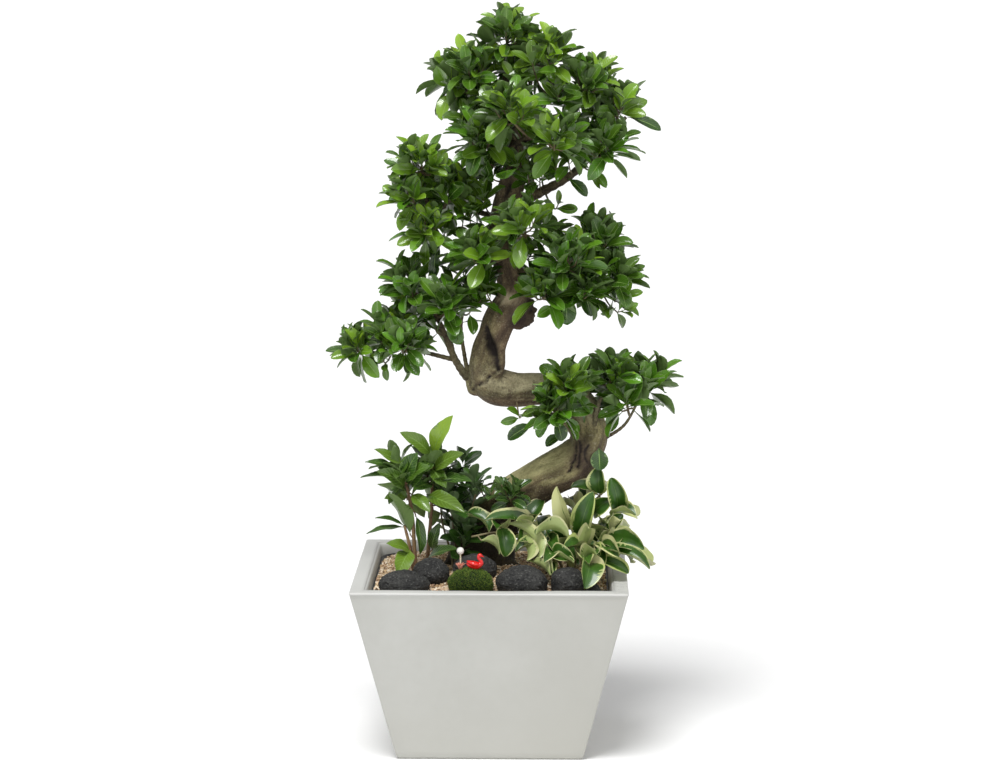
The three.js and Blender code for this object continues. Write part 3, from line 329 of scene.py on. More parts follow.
# The places in that list whose leaves are cream nearly all over
WAX_CREAM = (6, 7, 8, 14, 16, 21, 24)
# Factors on the listed leaves, whose curl hides some of their length and width
WAX_LONGER = 0.06
WAX_WIDER = 1.42
# More leaves on each stem: how far up it they stand, and their length and width in metres
WAX_MORE = ((0.42, 0.52, 0.62, 0.72, 0.84), 0.052, 0.032)
# Lava stones: centre, half sizes, turn in degrees
STONES = {
    "lava_stone_left": ((-140, -156, 294), (41, 30, 24), 6),
    "lava_stone_left_rear": ((-98, -107, 304), (32, 27, 26), -30),
    "lava_stone_middle_rear": ((-26, -84, 306), (38, 27, 25), 8),
    "lava_stone_middle": ((54, -156, 299), (42, 31, 28), -4),
    "lava_stone_right": ((127, -157, 299), (28, 28, 27), 20),
    "lava_stone_small": ((169, -156, 285), (13, 18, 14), 0),
}
MOSS = ((-31, -158, 296), (38, 33, 28))
MOSS_BLADES = 9000
MOSS_PILE = 3.5
MOSS_HEIGHT = {"least": 3.2, "spread": 2.4}
BIRD_AT = (-23, -160, 328)
BEAD = {"x": -48, "y": -150, "foot": 300, "z": 350, "radius": 6, "stick": 1.3}
# The flower's height, and its rounds of petals: how many, how far they reach, height and width
FLOWER = {"z": 317, "petals": ((7, 8.4, 12.0, 6.4), (6, 4.8, 13.0, 5.6))}

# Floor and light: half the floor's width, the sky, and suns as name, direction, spread and strength
FLOOR_HALF = 150000
SKY_STRENGTH = 0.42
SUNS = [("key", (0.16, 0.48, -1.0), 24, 2.6), ("fill", (-0.6, 0.7, -0.5), 60, 0.6)]


# Arrays


def unit(a):
    """Each vector divided by its length."""
    return a / np.maximum(np.linalg.norm(a, axis=-1, keepdims=True), 1e-12)


def curve(points, count):
    """A smooth curve through all the points: between two points, the cubic whose slopes are half
    the difference of the neighbours. Extra columns, such as a radius, are carried along."""
    p = np.asarray(points, float)
    p = np.vstack([2 * p[0] - p[1], p, 2 * p[-1] - p[-2]])
    at = np.linspace(0, len(p) - 3 - 1e-9, count)
    i = at.astype(int)
    t = (at - i)[:, None]
    a, b, c, d = p[i], p[i + 1], p[i + 2], p[i + 3]
    straight = 2 * b + (c - a) * t
    return 0.5 * (straight + (2 * a - 5 * b + 4 * c - d) * t**2 + (3 * b - a - 3 * c + d) * t**3)


def side_axes(points):
    """Two axes square to a path at each station, turned as little as the path allows: each is the
    last one with its part along the new direction taken away."""
    along = unit(np.gradient(points, axis=0))
    side = np.cross(along[0], (0.3, 1.0, 0.1))
    sides = np.empty_like(points)
    for i, way in enumerate(along):
        side = unit(side - way * (side @ way))
        sides[i] = side
    return sides, np.cross(along, sides)


def ring_quads(count, around):
    """Faces between neighbouring rings: each joins a point and the next one on two rings."""
    i, j = np.meshgrid(np.arange(count - 1), np.arange(around), indexing="ij")
    k = (j + 1) % around
    corners = [i * around + j, i * around + k, (i + 1) * around + k, (i + 1) * around + j]
    return np.stack(corners, -1).reshape(-1, 4)


def loft(rings):
    """Vertices and faces of a closed skin over equal rings, each a loop of points, with a pole in
    the middle of the first and last ring."""
    count, around = rings.shape[:2]
    poles = np.stack([rings[0].mean(0), rings[-1].mean(0)])
    verts = np.vstack([rings.reshape(-1, 3), poles])
    ring = np.arange(around)
    after = (ring + 1) % around
    first = np.full(around, count * around)
    base = (count - 1) * around
    start = np.stack([first, after, ring], -1)
    end = np.stack([first + 1, base + ring, base + after], -1)
    return verts, [ring_quads(count, around), np.vstack([start, end])]


def tube(points, radii, sides, swell=None):
    """A round tube: a circle of the radius at each station, carried along the path. swell gives a
    factor on the radius for each station and angle."""
    across, over = side_axes(points)
    angle = np.linspace(0, 2 * math.pi, sides, endpoint=False)
    factor = np.ones((1, sides)) if swell is None else swell(angle, len(points))
    size = np.asarray(radii)[:, None] * factor
    rings = points[:, None] + size[..., None] * (
        np.cos(angle)[None, :, None] * across[:, None] + np.sin(angle)[None, :, None] * over[:, None]
    )
    return loft(rings)


def limb(path, sides, factor=1.0, swell=None):
    """A tube along a path whose fourth column is its radius, times a factor."""
    return tube(path[:, :3], path[:, 3] * factor, sides, swell)


def scaled(points):
    """Millimetres to metres, as an array."""
    return np.asarray(points, float) * MM


def evenly(first, last, count):
    """Radii from the first to the last in equal steps, in metres."""
    return np.linspace(first, last, count) * MM


def joined(parts):
    """One vertex array and its faces from several, with the faces' numbers moved on."""
    verts, faces, start = [], [], 0
    for v, groups in parts:
        verts.append(v)
        faces += [g + start for g in groups]
        start += len(v)
    return np.vstack(verts), faces


def lattice_noise(p, seed):
    """Smooth noise from 0 to 1: a hashed value at each whole-number point, blended between the
    eight round each place with 3t^2 - 2t^3."""
    cell = np.floor(p).astype(np.int64)
    t = p - cell
    t = t * t * (3 - 2 * t)
    total = np.zeros(len(p))
    for corner in np.ndindex(2, 2, 2):
        at = cell + corner
        h = (at[:, 0] * 73856093) ^ (at[:, 1] * 19349663) ^ (at[:, 2] * 83492791) ^ (seed * 2654435761)
        h = (h ^ (h >> 13)) * 1274126177 & 0xFFFFFFFF
        value = ((h ^ (h >> 16)) & 0xFFFF) / 65535
        total += value * np.prod(np.where(corner, t, 1 - t), axis=1)
    return total


def cloud(p, seed, octaves=3):
    """Noise in several sizes, each half the size and half the height of the last, around 0."""
    return sum((lattice_noise(p * 2.0**o, seed + o) - 0.5) * 0.5**o for o in range(octaves))


# Pieces


def mesh_of(name, verts, groups, smooth=True):
    """A mesh from a vertex array and arrays of faces with equal corner counts."""
    mesh = bpy.data.meshes.new(name)
    counts = np.concatenate([np.full(len(g), g.shape[1]) for g in groups])
    corners = np.concatenate([g.ravel() for g in groups])
    mesh.vertices.add(len(verts))
    mesh.vertices.foreach_set("co", np.asarray(verts, np.float32).ravel())
    mesh.loops.add(len(corners))
    mesh.loops.foreach_set("vertex_index", corners.astype(np.int32))
    mesh.polygons.add(len(counts))
    starts = np.concatenate([[0], np.cumsum(counts)[:-1]])
    mesh.polygons.foreach_set("loop_start", starts.astype(np.int32))
    mesh.polygons.foreach_set("loop_total", counts.astype(np.int32))
    mesh.polygons.foreach_set("use_smooth", np.full(len(counts), smooth))
    mesh.update()
    mesh.validate()
    return mesh


def give(mesh, name, values, kind="FLOAT", domain="POINT"):
    """Stores an array on a mesh as a named attribute."""
    field = "vector" if kind == "FLOAT_VECTOR" else "value"
    attribute = mesh.attributes.new(name, kind, domain)
    attribute.data.foreach_set(field, np.asarray(values, np.float32).ravel())


def give_uv(mesh, uv):
    """Stores a UV map from one pair of numbers per vertex."""
    corners = np.empty(len(mesh.loops), np.int32)
    mesh.loops.foreach_get("vertex_index", corners)
    layer = mesh.uv_layers.new(name="UVMap")
    layer.data.foreach_set("uv", np.asarray(uv, np.float32)[corners].ravel())


def put(name, data):
    """Puts a mesh or a light in the scene, at the origin and unturned."""
    made = bpy.data.objects.new(name, data)
    bpy.context.scene.collection.objects.link(made)
    return made


def piece(name, mesh, materials, slot, *nodes):
    """Puts a mesh in the scene as a piece that rides on the root and stands for CAD nodes."""
    made = put(name, mesh)
    for material in materials:
        mesh.materials.append(material)
    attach(made, "root")
    if nodes:
        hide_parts(*nodes)


# Node trees


class Tree:
    """Adds nodes to a tree. An input given as a socket is linked, anything else is set on it."""

    def __init__(self, tree):
        self.tree = tree

    def node(self, kind, inputs=None, **settings):
        """A shader node of a kind, with its settings and inputs."""
        made = self.tree.nodes.new("ShaderNode" + kind)
        for key, value in settings.items():
            setattr(made, key, value)
        for key, value in (inputs or {}).items():
            if isinstance(value, bpy.types.NodeSocket):
                self.tree.links.new(value, made.inputs[key])
            else:
                made.inputs[key].default_value = value
        return made

    def math(self, operation, a, b=0.0, clamp=False):
        """One operation on two values."""
        return self.node("Math", {0: a, 1: b}, operation=operation, use_clamp=clamp).outputs[0]

    def plus(self, a, b, clamp=False):
        """a + b"""
        return self.math("ADD", a, b, clamp)

    def minus(self, a, b):
        """a - b"""
        return self.math("SUBTRACT", a, b)

    def times(self, a, b):
        """a b"""
        return self.math("MULTIPLY", a, b)

    def size(self, a):
        """a without its sign"""
        return self.math("ABSOLUTE", a)

    def coords(self):
        """Places on the object and on its UV map."""
        return self.node("TexCoord").outputs

    def split(self, at):
        """The three parts of a place or a direction."""
        return self.node("SeparateXYZ", {0: at}).outputs

    def ramp(self, value, low, high, to_low=0.0, to_high=1.0):
        """value from low..high to to_low..to_high, with soft ends."""
        made = self.node("MapRange", {0: value, 1: low, 2: high, 3: to_low, 4: to_high})
        made.interpolation_type = "SMOOTHSTEP"
        return made.outputs[0]

    def mix(self, share, a, b):
        """The colour a where share is 0, b where it is 1."""
        made = self.node("Mix", data_type="RGBA")
        for index, value in ((0, share), (6, a), (7, b)):
            if isinstance(value, bpy.types.NodeSocket):
                self.tree.links.new(value, made.inputs[index])
            elif index == 0:
                made.inputs[0].default_value = value
            else:
                made.inputs[index].default_value = (*value, 1)
        return made.outputs[2]

    def noise(self, at, scale, detail=3.0, roughness=0.5, distortion=0.0):
        """Smooth noise from 0 to 1 at a place."""
        inputs = {"Vector": at, "Scale": scale, "Detail": detail, "Roughness": roughness}
        return self.node("TexNoise", {**inputs, "Distortion": distortion}).outputs["Fac"]

    def attribute(self, name, output="Fac"):
        """What the mesh stores under a name."""
        return self.node("Attribute", attribute_name=name).outputs[output]

    def stretched(self, at, scale):
        """A place times a factor for each axis."""
        return self.node("Mapping", {"Vector": at, "Scale": scale}).outputs[0]

    def mottle(self, at, scale, contrast):
        """The blotches of the mottle group at a place."""
        return self.group(MOTTLE, Vector=at, Scale=scale, Contrast=contrast)

    def group(self, tree, **inputs):
        """A node group with its inputs."""
        made = self.node("Group", node_tree=tree)
        for key, value in inputs.items():
            if isinstance(value, bpy.types.NodeSocket):
                self.tree.links.new(value, made.inputs[key])
            else:
                made.inputs[key].default_value = value
        return made.outputs

    def bump(self, height, strength, distance):
        """Normals tilted by the slope of a height."""
        inputs = {"Height": height, "Strength": strength, "Distance": distance}
        return self.node("Bump", inputs).outputs[0]


def new_group(name, inputs, outputs):
    """A shader node group with named number sockets, and the ends of its tree."""
    tree = bpy.data.node_groups.new(name, "ShaderNodeTree")
    for label, kind, value in inputs:
        socket = tree.interface.new_socket(label, in_out="INPUT", socket_type="NodeSocket" + kind)
        if value is not None:
            socket.default_value = value
    for label in outputs:
        tree.interface.new_socket(label, in_out="OUTPUT", socket_type="NodeSocketFloat")
    start = tree.nodes.new("NodeGroupInput").outputs
    end = tree.nodes.new("NodeGroupOutput").inputs
    return tree, Tree(tree), start, end


def new_material(name, roughness, **constants):
    """A material with its Principled shader, whose constants are set on the shader itself."""
    material = bpy.data.materials.new(name)
    material.use_nodes = True
    shader = material.node_tree.nodes["Principled BSDF"]
    shader.inputs["Roughness"].default_value = roughness
    for key, value in constants.items():
        shader.inputs[key.replace("_", " ")].default_value = value
    return material, Tree(material.node_tree), shader


def connect(tree, shader, **sockets):
    """Links values to the shader's inputs of the same names."""
    for key, value in sockets.items():
        tree.tree.links.new(value, shader.inputs[key.replace("_", " ")])


def veins_group():
    """Masks for a leaf's veins on its UV map, u across and v along: the midrib is where u is near
    a half, and each side vein is a thin line that climbs towards the edge."""
    inputs = [("UV", "Vector", None)]
    inputs += [("Pairs", "Float", 9.0), ("Climb", "Float", 0.5), ("Rib", "Float", 0.03)]
    group, t, start, end = new_group("leaf_veins", inputs, ["Midrib", "Side", "Edge"])
    split = t.split(start["UV"])
    off = t.size(t.minus(split[0], 0.5))
    rib = t.times(start["Rib"], t.minus(1.15, split[1]))
    midrib = t.minus(1.0, t.node("MapRange", {0: off, 1: 0.0, 2: rib}).outputs[0])
    climbing = t.minus(split[1], t.times(off, start["Climb"]))
    line = t.math("FRACT", t.times(climbing, start["Pairs"]))
    side = t.ramp(t.size(t.minus(line, 0.5)), 0.0, 0.16, 1.0, 0.0)
    t.tree.links.new(midrib, end["Midrib"])
    t.tree.links.new(side, end["Side"])
    t.tree.links.new(t.ramp(off, 0.44, 0.49), end["Edge"])
    return group


def mottle_group():
    """Blotches of uneven tone: coarse noise with finer noise laid over it, pulled apart by Contrast."""
    inputs = [("Vector", "Vector", None), ("Scale", "Float", 30.0), ("Contrast", "Float", 1.0)]
    group, t, start, end = new_group("mottle", inputs, ["Value", "Fine"])
    coarse = t.noise(start["Vector"], start["Scale"], 4.0)
    fine = t.noise(start["Vector"], t.times(start["Scale"], 7.0))
    both = t.plus(t.times(coarse, 0.7), t.times(fine, 0.3))
    spread = t.times(t.minus(both, 0.5), start["Contrast"])
    t.tree.links.new(t.plus(t.times(spread, 2.5), 0.5, clamp=True), end["Value"])
    t.tree.links.new(fine, end["Fine"])
    return group


VEINS = veins_group()
MOTTLE = mottle_group()


def leaf_material(
    name, dark, light, young, under, rib, pairs, roughness, side_strength, climb=0.5, relief_depth=0.0006
):
    """A leaf: its green between dark and light by each leaf's own tone, young leaves another green,
    a pale rib and faint side veins, and a paler, duller lower side."""
    gloss = {"Specular_IOR_Level": 0.4, "Coat_Weight": 0.5, "Coat_Roughness": 0.14}
    material, t, shader = new_material(name, roughness, **gloss)
    coords = t.coords()
    veins = t.group(VEINS, UV=coords["UV"], Pairs=pairs, Climb=climb, Rib=0.055)
    mottle = t.mottle(coords["Object"], 70.0, 0.8)
    shade = t.plus(t.times(t.attribute("tone"), 0.75), t.times(mottle["Value"], 0.25))
    green = t.mix(shade, dark, light)
    green = t.mix(t.attribute("youth"), green, young)
    green = t.mix(t.times(veins["Side"], side_strength), green, rib)
    green = t.mix(t.times(veins["Midrib"], 0.85), green, rib)
    green = t.mix(t.times(veins["Edge"], 0.3), green, rib)
    green = t.mix(t.attribute("under"), green, under)
    relief = t.minus(t.times(mottle["Fine"], 0.3), t.times(veins["Side"], 0.5))
    relief = t.minus(relief, veins["Midrib"])
    dull = t.plus(t.times(t.attribute("under"), 0.28), roughness)
    dull = t.plus(dull, t.times(mottle["Value"], 0.08))
    connect(t, shader, Base_Color=green, Roughness=dull, Normal=t.bump(relief, 0.4, relief_depth))
    return material


def wax_leaf_material():
    """A variegated leaf: green along the middle with streaks that fray towards a cream margin, and
    some leaves cream nearly all over."""
    material, t, shader = new_material("wax_leaf", 0.34, Coat_Weight=0.2, Coat_Roughness=0.25)
    coords = t.coords()
    split = t.split(coords["UV"])
    off = t.size(t.minus(split[0], 0.5))
    streak = t.noise(t.stretched(coords["UV"], (9, 2.2, 1)), 1.6, 4.0, 0.6)
    by_leaf = t.attribute("tone")
    edge = t.plus(off, t.times(t.minus(streak, 0.5), 0.30))
    edge = t.plus(edge, t.times(t.math("POWER", by_leaf, 4.0), 0.45))
    cream = t.ramp(edge, 0.415, 0.470)
    veins = t.group(VEINS, UV=coords["UV"], Pairs=6.0, Climb=0.8, Rib=0.03)
    green = t.mix(t.noise(coords["Object"], 60.0), (0.006, 0.030, 0.003), (0.062, 0.170, 0.014))
    green = t.mix(t.times(veins["Midrib"], 0.5), green, (0.20, 0.34, 0.08))
    pale = t.mix(t.attribute("youth"), (0.45, 0.52, 0.17), (0.72, 0.68, 0.38))
    colour = t.mix(cream, green, pale)
    lower = t.mix(t.noise(coords["Object"], 35.0), (0.20, 0.29, 0.075), (0.50, 0.55, 0.230))
    lower = t.mix(t.times(cream, 0.6), lower, (0.68, 0.65, 0.37))
    colour = t.mix(t.attribute("under"), colour, lower)
    relief = t.minus(t.noise(coords["Object"], 300.0), veins["Midrib"])
    connect(t, shader, Base_Color=colour, Normal=t.bump(relief, 0.25, 0.0008))
    return material


def stem_material(name, low, high, scale):
    """A twig or stem: two browns or greens mixed by stretched noise, with fine bumps."""
    material, t, shader = new_material(name, 0.6)
    coords = t.coords()
    mottle = t.mottle(t.stretched(coords["Object"], (1, 1, 0.4)), scale, 1.4)
    colour = t.mix(mottle["Value"], low, high)
    connect(t, shader, Base_Color=colour, Normal=t.bump(mottle["Fine"], 0.4, 0.0006))
    return material


def bark_material():
    """Banyan bark: fine brown and grey mottling; painted light, olive and beige, where it faces up and to
    the left, the brown standing for the shaded sides; painted shade, near-black, in hollows and near the
    ground; with scattered rust flakes, small pores and pale scars."""
    material, t, shader = new_material("bark", 0.8)
    coords = t.coords()
    straight = t.attribute("straight", "Vector")
    mottle = t.mottle(t.stretched(straight, (1, 1, 0.6)), 60.0, 1.5)
    patches = t.mottle(coords["Object"], 15.0, 1.6)
    place = t.split(coords["Object"])
    facing = t.split(t.node("NewGeometry").outputs["Normal"])
    # Painted light: the brown stands for bark on the shaded sides and the olive for bark lit from above and
    # the left, picked by lean and lit, less lit under the crown.
    shaded_brown = t.mix(mottle["Value"], (0.040, 0.024, 0.014), (0.165, 0.110, 0.066))
    lit_olive = t.mix(mottle["Value"], (0.098, 0.082, 0.034), (0.345, 0.300, 0.135))
    lean = t.minus(facing[2], t.times(facing[0], 0.35))
    lit = t.times(t.ramp(lean, -0.75, 0.15), t.ramp(place[2], 0.76, 0.63, 0.45, 1.0))
    lit = t.times(lit, t.ramp(patches["Value"], 0.1, 0.5, 0.45, 1.0))
    colour = t.mix(lit, shaded_brown, lit_olive)
    # Painted light: the top of the horizontal stretch, where it faces up, painted a pale beige.
    level = t.times(t.ramp(place[2], 0.655, 0.625), t.ramp(place[2], 0.53, 0.575))
    level = t.times(level, t.ramp(facing[2], -0.3, 0.3, 0.1, 0.65))
    colour = t.mix(level, colour, t.mix(mottle["Value"], (0.26, 0.23, 0.13), (0.56, 0.51, 0.33)))
    ruddy = t.mix(mottle["Value"], (0.085, 0.048, 0.028), (0.265, 0.180, 0.110))
    colour = t.mix(t.times(t.attribute("ruddy"), 0.7), colour, ruddy)
    fine = t.noise(straight, 420.0, 4.0, 0.65)
    colour = t.mix(t.ramp(fine, 0.52, 0.68, 0.0, 0.5), colour, (0.050, 0.034, 0.020))
    colour = t.mix(t.ramp(fine, 0.46, 0.32, 0.0, 0.45), colour, (0.42, 0.38, 0.26))
    flakes = t.ramp(t.noise(straight, 70.0, 5.0, 0.7), 0.60, 0.66)
    colour = t.mix(t.times(flakes, 0.6), colour, (0.060, 0.030, 0.018))
    streaks = t.ramp(t.noise(t.stretched(straight, (1, 1, 0.14)), 95.0, 4.0, 0.6), 0.50, 0.66)
    above = t.ramp(place[2], 0.645, 0.70, 0.15, 0.65)
    colour = t.mix(t.times(streaks, above), colour, (0.050, 0.030, 0.020))
    scar = t.attribute("scar")
    colour = t.mix(scar, colour, t.mix(mottle["Value"], (0.34, 0.27, 0.16), (0.62, 0.53, 0.36)))
    colour = t.mix(t.times(t.attribute("stain"), 0.85), colour, (0.045, 0.026, 0.018))
    # Painted shade: near-black where the bark lies in hollows and grooves, and a little on the branches.
    colour = t.mix(t.attribute("painted_shade"), colour, (0.016, 0.010, 0.007))
    # Painted light: beige-olive on the upper left faces of the low bend, fading out to the right.
    lit_crest = t.times(t.ramp(place[2], 0.405, 0.455), t.ramp(place[2], 0.545, 0.505))
    lit_crest = t.times(lit_crest, t.ramp(place[0], 0.150, 0.105))
    lit_crest = t.times(lit_crest, t.ramp(lean, -0.10, 0.60, 0.0, 0.85))
    colour = t.mix(lit_crest, colour, t.mix(mottle["Value"], (0.25, 0.235, 0.100), (0.52, 0.485, 0.235)))
    # Painted shade: near-black towards the trunk's foot, near the ground.
    colour = t.mix(t.ramp(place[2], 0.455, 0.36, 0.0, 0.85), colour, (0.020, 0.014, 0.009))
    height = t.plus(mottle["Fine"], t.times(flakes, -0.5))
    height = t.plus(height, t.times(fine, 0.9))
    connect(t, shader, Base_Color=colour, Normal=t.bump(height, 0.8, 0.0022))
    return material


def planter_material():
    """Matt off-white: very faint clouds of grey, a fine grit, painted shade towards the bottom, the right
    side and down the inner wall, a painted-light band on the rim's top, and short dark hairlines on the rim."""
    material, t, shader = new_material("planter_white", 0.62)
    coords = t.coords()
    mottle = t.mottle(coords["Object"], 9.0, 0.8)
    place = t.split(coords["Object"])
    colour = t.mix(mottle["Value"], (0.470, 0.472, 0.440), (0.545, 0.548, 0.520))
    # Painted shade: darker towards the bottom and towards the right side, away from the light.
    low_and_right_shade = t.plus(t.ramp(place[2], 0.27, 0.0, 0.0, 0.5), t.ramp(place[0], -0.05, 0.2, 0.0, 0.4))
    colour = t.mix(low_and_right_shade, colour, (0.455, 0.450, 0.408))
    # rim is the band at the planter's top; painted light: that band painted paler where the rim faces up.
    rim = t.ramp(place[2], 0.2895, 0.2925)
    colour = t.mix(t.times(rim, 0.5), colour, (0.64, 0.64, 0.625))
    streak = t.noise(t.stretched(coords["Object"], (14, 30, 90)), 1.0, 4.0, 0.65, 1.5)
    hair = t.ramp(t.size(t.minus(streak, 0.5)), 0.0, 0.02, 1.0, 0.0)
    hair = t.times(hair, t.times(rim, t.ramp(place[0], 0.185, 0.205)))
    colour = t.mix(t.times(hair, 0.6), colour, (0.25, 0.25, 0.24))
    # Painted shade: darker down the inner wall below the rim, in blotches.
    inner_wall_shade = t.times(t.attribute("inside"), t.ramp(place[2], 0.290, 0.272, 0.0, 0.6))
    inner_wall_shade = t.times(inner_wall_shade, t.ramp(mottle["Fine"], 0.3, 0.7, 0.6, 1.0))
    colour = t.mix(inner_wall_shade, colour, (0.20, 0.19, 0.16))
    speck = t.noise(coords["Object"], 900.0, 2.0)
    height = t.plus(t.times(mottle["Fine"], 0.6), t.times(speck, 0.4))
    dull = t.plus(0.52, t.times(mottle["Fine"], 0.2))
    connect(t, shader, Base_Color=colour, Roughness=dull, Normal=t.bump(height, 0.12, 0.0008))
    return material


def plain_material(name, low, high, scale, roughness, relief, distance, **constants):
    """Two tones mixed by blotches, with a bump of the finer blotches."""
    material, t, shader = new_material(name, roughness, **constants)
    coords = t.coords()
    mottle = t.mottle(coords["Object"], scale, 1.2)
    colour = t.mix(mottle["Value"], low, high)
    connect(t, shader, Base_Color=colour, Normal=t.bump(mottle["Fine"], relief, distance))
    return material


def chip_material():
    """Gravel chips: each chip's own tone picks from dark brown through tan and pink to cream."""
    material, t, shader = new_material("gravel", 0.75)
    coords = t.coords()
    tone = t.attribute("tone")
    colour = t.mix(t.ramp(tone, 0.0, 0.3), (0.060, 0.032, 0.014), (0.37, 0.22, 0.10))
    colour = t.mix(t.ramp(tone, 0.30, 0.60), colour, (0.72, 0.55, 0.32))
    colour = t.mix(t.ramp(tone, 0.65, 0.90), colour, (0.96, 0.86, 0.69))
    colour = t.mix(t.times(t.attribute("youth"), 0.4), colour, (0.70, 0.46, 0.34))
    mottle = t.mottle(coords["Object"], 400.0, 1.2)
    colour = t.mix(t.times(mottle["Value"], 0.2), colour, (0.36, 0.27, 0.17))
    place = t.split(coords["Object"])
    wet = t.times(t.ramp(place[0], 0.13, 0.16), t.ramp(place[1], -0.10, -0.13))
    wet = t.times(wet, t.ramp(t.noise(coords["Object"], 45.0), 0.35, 0.5))
    colour = t.mix(t.times(wet, 0.8), colour, (0.07, 0.06, 0.025))
    connect(t, shader, Base_Color=colour, Normal=t.bump(mottle["Fine"], 0.3, 0.0005))
    return material


def lava_material():
    """Charcoal lava rock: blue-black to grey, pale dust on high spots, painted shade near-black in the pores
    and pits.
    """
    material, t, shader = new_material("lava", 0.88)
    coords = t.coords()
    mottle = t.mottle(coords["Object"], 45.0, 1.3)
    pores = t.node("TexVoronoi", {"Vector": coords["Object"], "Scale": 300.0, "Randomness": 1.0})
    pit = t.ramp(pores.outputs["Distance"], 0.12, 0.34, 1.0, 0.0)
    colour = t.mix(mottle["Value"], (0.011, 0.011, 0.011), (0.045, 0.045, 0.042))
    colour = t.mix(t.times(t.ramp(mottle["Fine"], 0.56, 0.7), 0.45), colour, (0.16, 0.16, 0.15))
    # Painted shade: the pores and the stones' pits painted near-black.
    colour = t.mix(t.times(pit, 0.75), colour, (0.008, 0.008, 0.009))
    colour = t.mix(t.times(t.attribute("painted_shade"), 0.85), colour, (0.008, 0.008, 0.009))
    height = t.minus(t.times(mottle["Fine"], 0.8), pit)
    connect(t, shader, Base_Color=colour, Normal=t.bump(height, 0.8, 0.001))
    return material


def moss_material():
    """Moss: each blade's tone from black-green at the root to bright green at the tip; the black-green, also
    on the cushion below, is partly the moss's own darker base and partly painted shade deep between the
    blades.
    """
    material, t, shader = new_material("moss", 0.9)
    colour = t.mix(t.attribute("tone"), (0.005, 0.014, 0.002), (0.108, 0.202, 0.013))
    colour = t.mix(t.times(t.attribute("youth"), 0.7), colour, (0.32, 0.39, 0.055))
    connect(t, shader, Base_Color=colour)
    return material


# Leaves


def outline(rise, fall):
    """A leaf's outline: half width along the blade as s^rise (1 - s)^fall, with its widest place 1."""
    widest = rise / (rise + fall)
    full = widest**rise * (1 - widest) ** fall
    return lambda s: s**rise * (1 - s) ** fall / full


OBOVATE = outline(0.86, 0.70)
ELLIPTIC = outline(0.70, 0.80)
POINTED = outline(0.66, 0.90)


def blades(
    leaves, form, stations, stalk, thick, fold, arch, seed, curl=0.0, twist=0.0, wave=0.0, teeth=0, tooth=0.0
):
    """Leaf blades as one mesh. leaves is an array of rows: foot, tip, upper side, width.

    A blade follows an arc from foot to tip that bends through arch radians, and it turns about
    that arc by up to twist. Its half width is form(s), its halves rise from the midrib by the fold
    angle and curl as the square of the way out, and its margin waves up and down. A ring of eight
    points goes round it at each station: the two margins, three on top and three below, the lower
    ones a thickness down. The stalk is the same ring, drawn in. Teeth cut the margin with a saw."""
    draw = np.random.default_rng(seed)
    n = len(leaves)
    foot, tip, face, width = leaves[:, 0:3], leaves[:, 3:6], leaves[:, 6:9], leaves[:, 9]
    along = tip - foot
    length = np.linalg.norm(along, axis=1)[:, None]
    along = along / length
    over = unit(face - along * np.sum(face * along, axis=1, keepdims=True))
    across = np.cross(along, over)
    s = 1 - (1 - np.linspace(0.03, 0.985, stations)) ** 1.4
    s = np.concatenate([[0.0, 0.6 * stalk], stalk + (1 - stalk) * s])
    blade = np.clip((s - stalk) / (1 - stalk), 0, 1)
    stem = 0.55 * thick + 0.25 * MM
    half = np.where(s < stalk, 0.0, form(np.clip(blade, 1e-6, 1 - 1e-6))) * width[:, None] * 0.5
    half = np.maximum(half, stem)[:, :, None]
    t = np.array([-1, -0.52, 0, 0.52, 1, 0.52, 0, -0.52])
    lower = np.array([0, 0, 0, 0, 0, 1, 1, 1])
    midrib = np.abs(t) < 0.1
    rise = (fold * (0.6 + 0.8 * draw.random(n)))[:, None, None]
    bend = (arch * (0.4 + 1.2 * draw.random(n)))[:, None]
    phase = 2 * math.pi * draw.random(n)[:, None]
    turn = (twist * (2 * draw.random(n) - 1))[:, None] * s
    saw = 1 + tooth * (np.mod(blade * teeth, 1.0) - 0.5)[:, None] * (np.abs(t) > 0.9)
    x = half * t * saw * np.cos(rise)
    z = np.abs(x) * np.tan(rise) + curl * half * t**2
    z = z + wave * half * (np.sin(11 * blade + phase)[:, :, None] * np.abs(t) ** 3)
    z = z - thick * (lower * (1 + 0.8 * midrib) + 0.22 * midrib * (lower == 0))
    slope = bend * (0.5 - s)
    scale = length / (2 * np.sin(bend / 2))
    path_y = scale * (np.sin(bend / 2) - np.sin(slope))
    path_z = scale * (np.cos(slope) - np.cos(bend / 2))
    normal = over[:, None] * np.cos(slope)[..., None] - along[:, None] * np.sin(slope)[..., None]
    side = across[:, None] * np.cos(turn)[..., None] + normal * np.sin(turn)[..., None]
    normal = normal * np.cos(turn)[..., None] - across[:, None] * np.sin(turn)[..., None]
    centre = foot[:, None] + path_y[..., None] * along[:, None] + path_z[..., None] * over[:, None]
    points = centre[:, :, None] + x[..., None] * side[:, :, None] + z[..., None] * normal[:, :, None]
    rows, ring = len(s), len(t)
    verts = points.reshape(-1, 3)
    quads = ring_quads(rows, ring)[:, ::-1]
    ends = np.stack([np.arange(ring), (rows - 1) * ring + np.arange(ring)[::-1]])
    start = (np.arange(n) * rows * ring)[:, None, None]
    quads = (quads[None] + start).reshape(-1, 4)
    ends = (ends[None] + start).reshape(-1, ring)
    uv = np.stack(np.broadcast_arrays(0.5 + 0.5 * t[None], blade[:, None]), -1).reshape(-1, 2)
    under = np.tile(np.tile((np.arange(ring) >= 4).astype(float), rows - 1), n)
    under = np.concatenate([under, np.ones(2 * n)])
    return verts, [quads, ends], np.tile(uv, (n, 1)), under


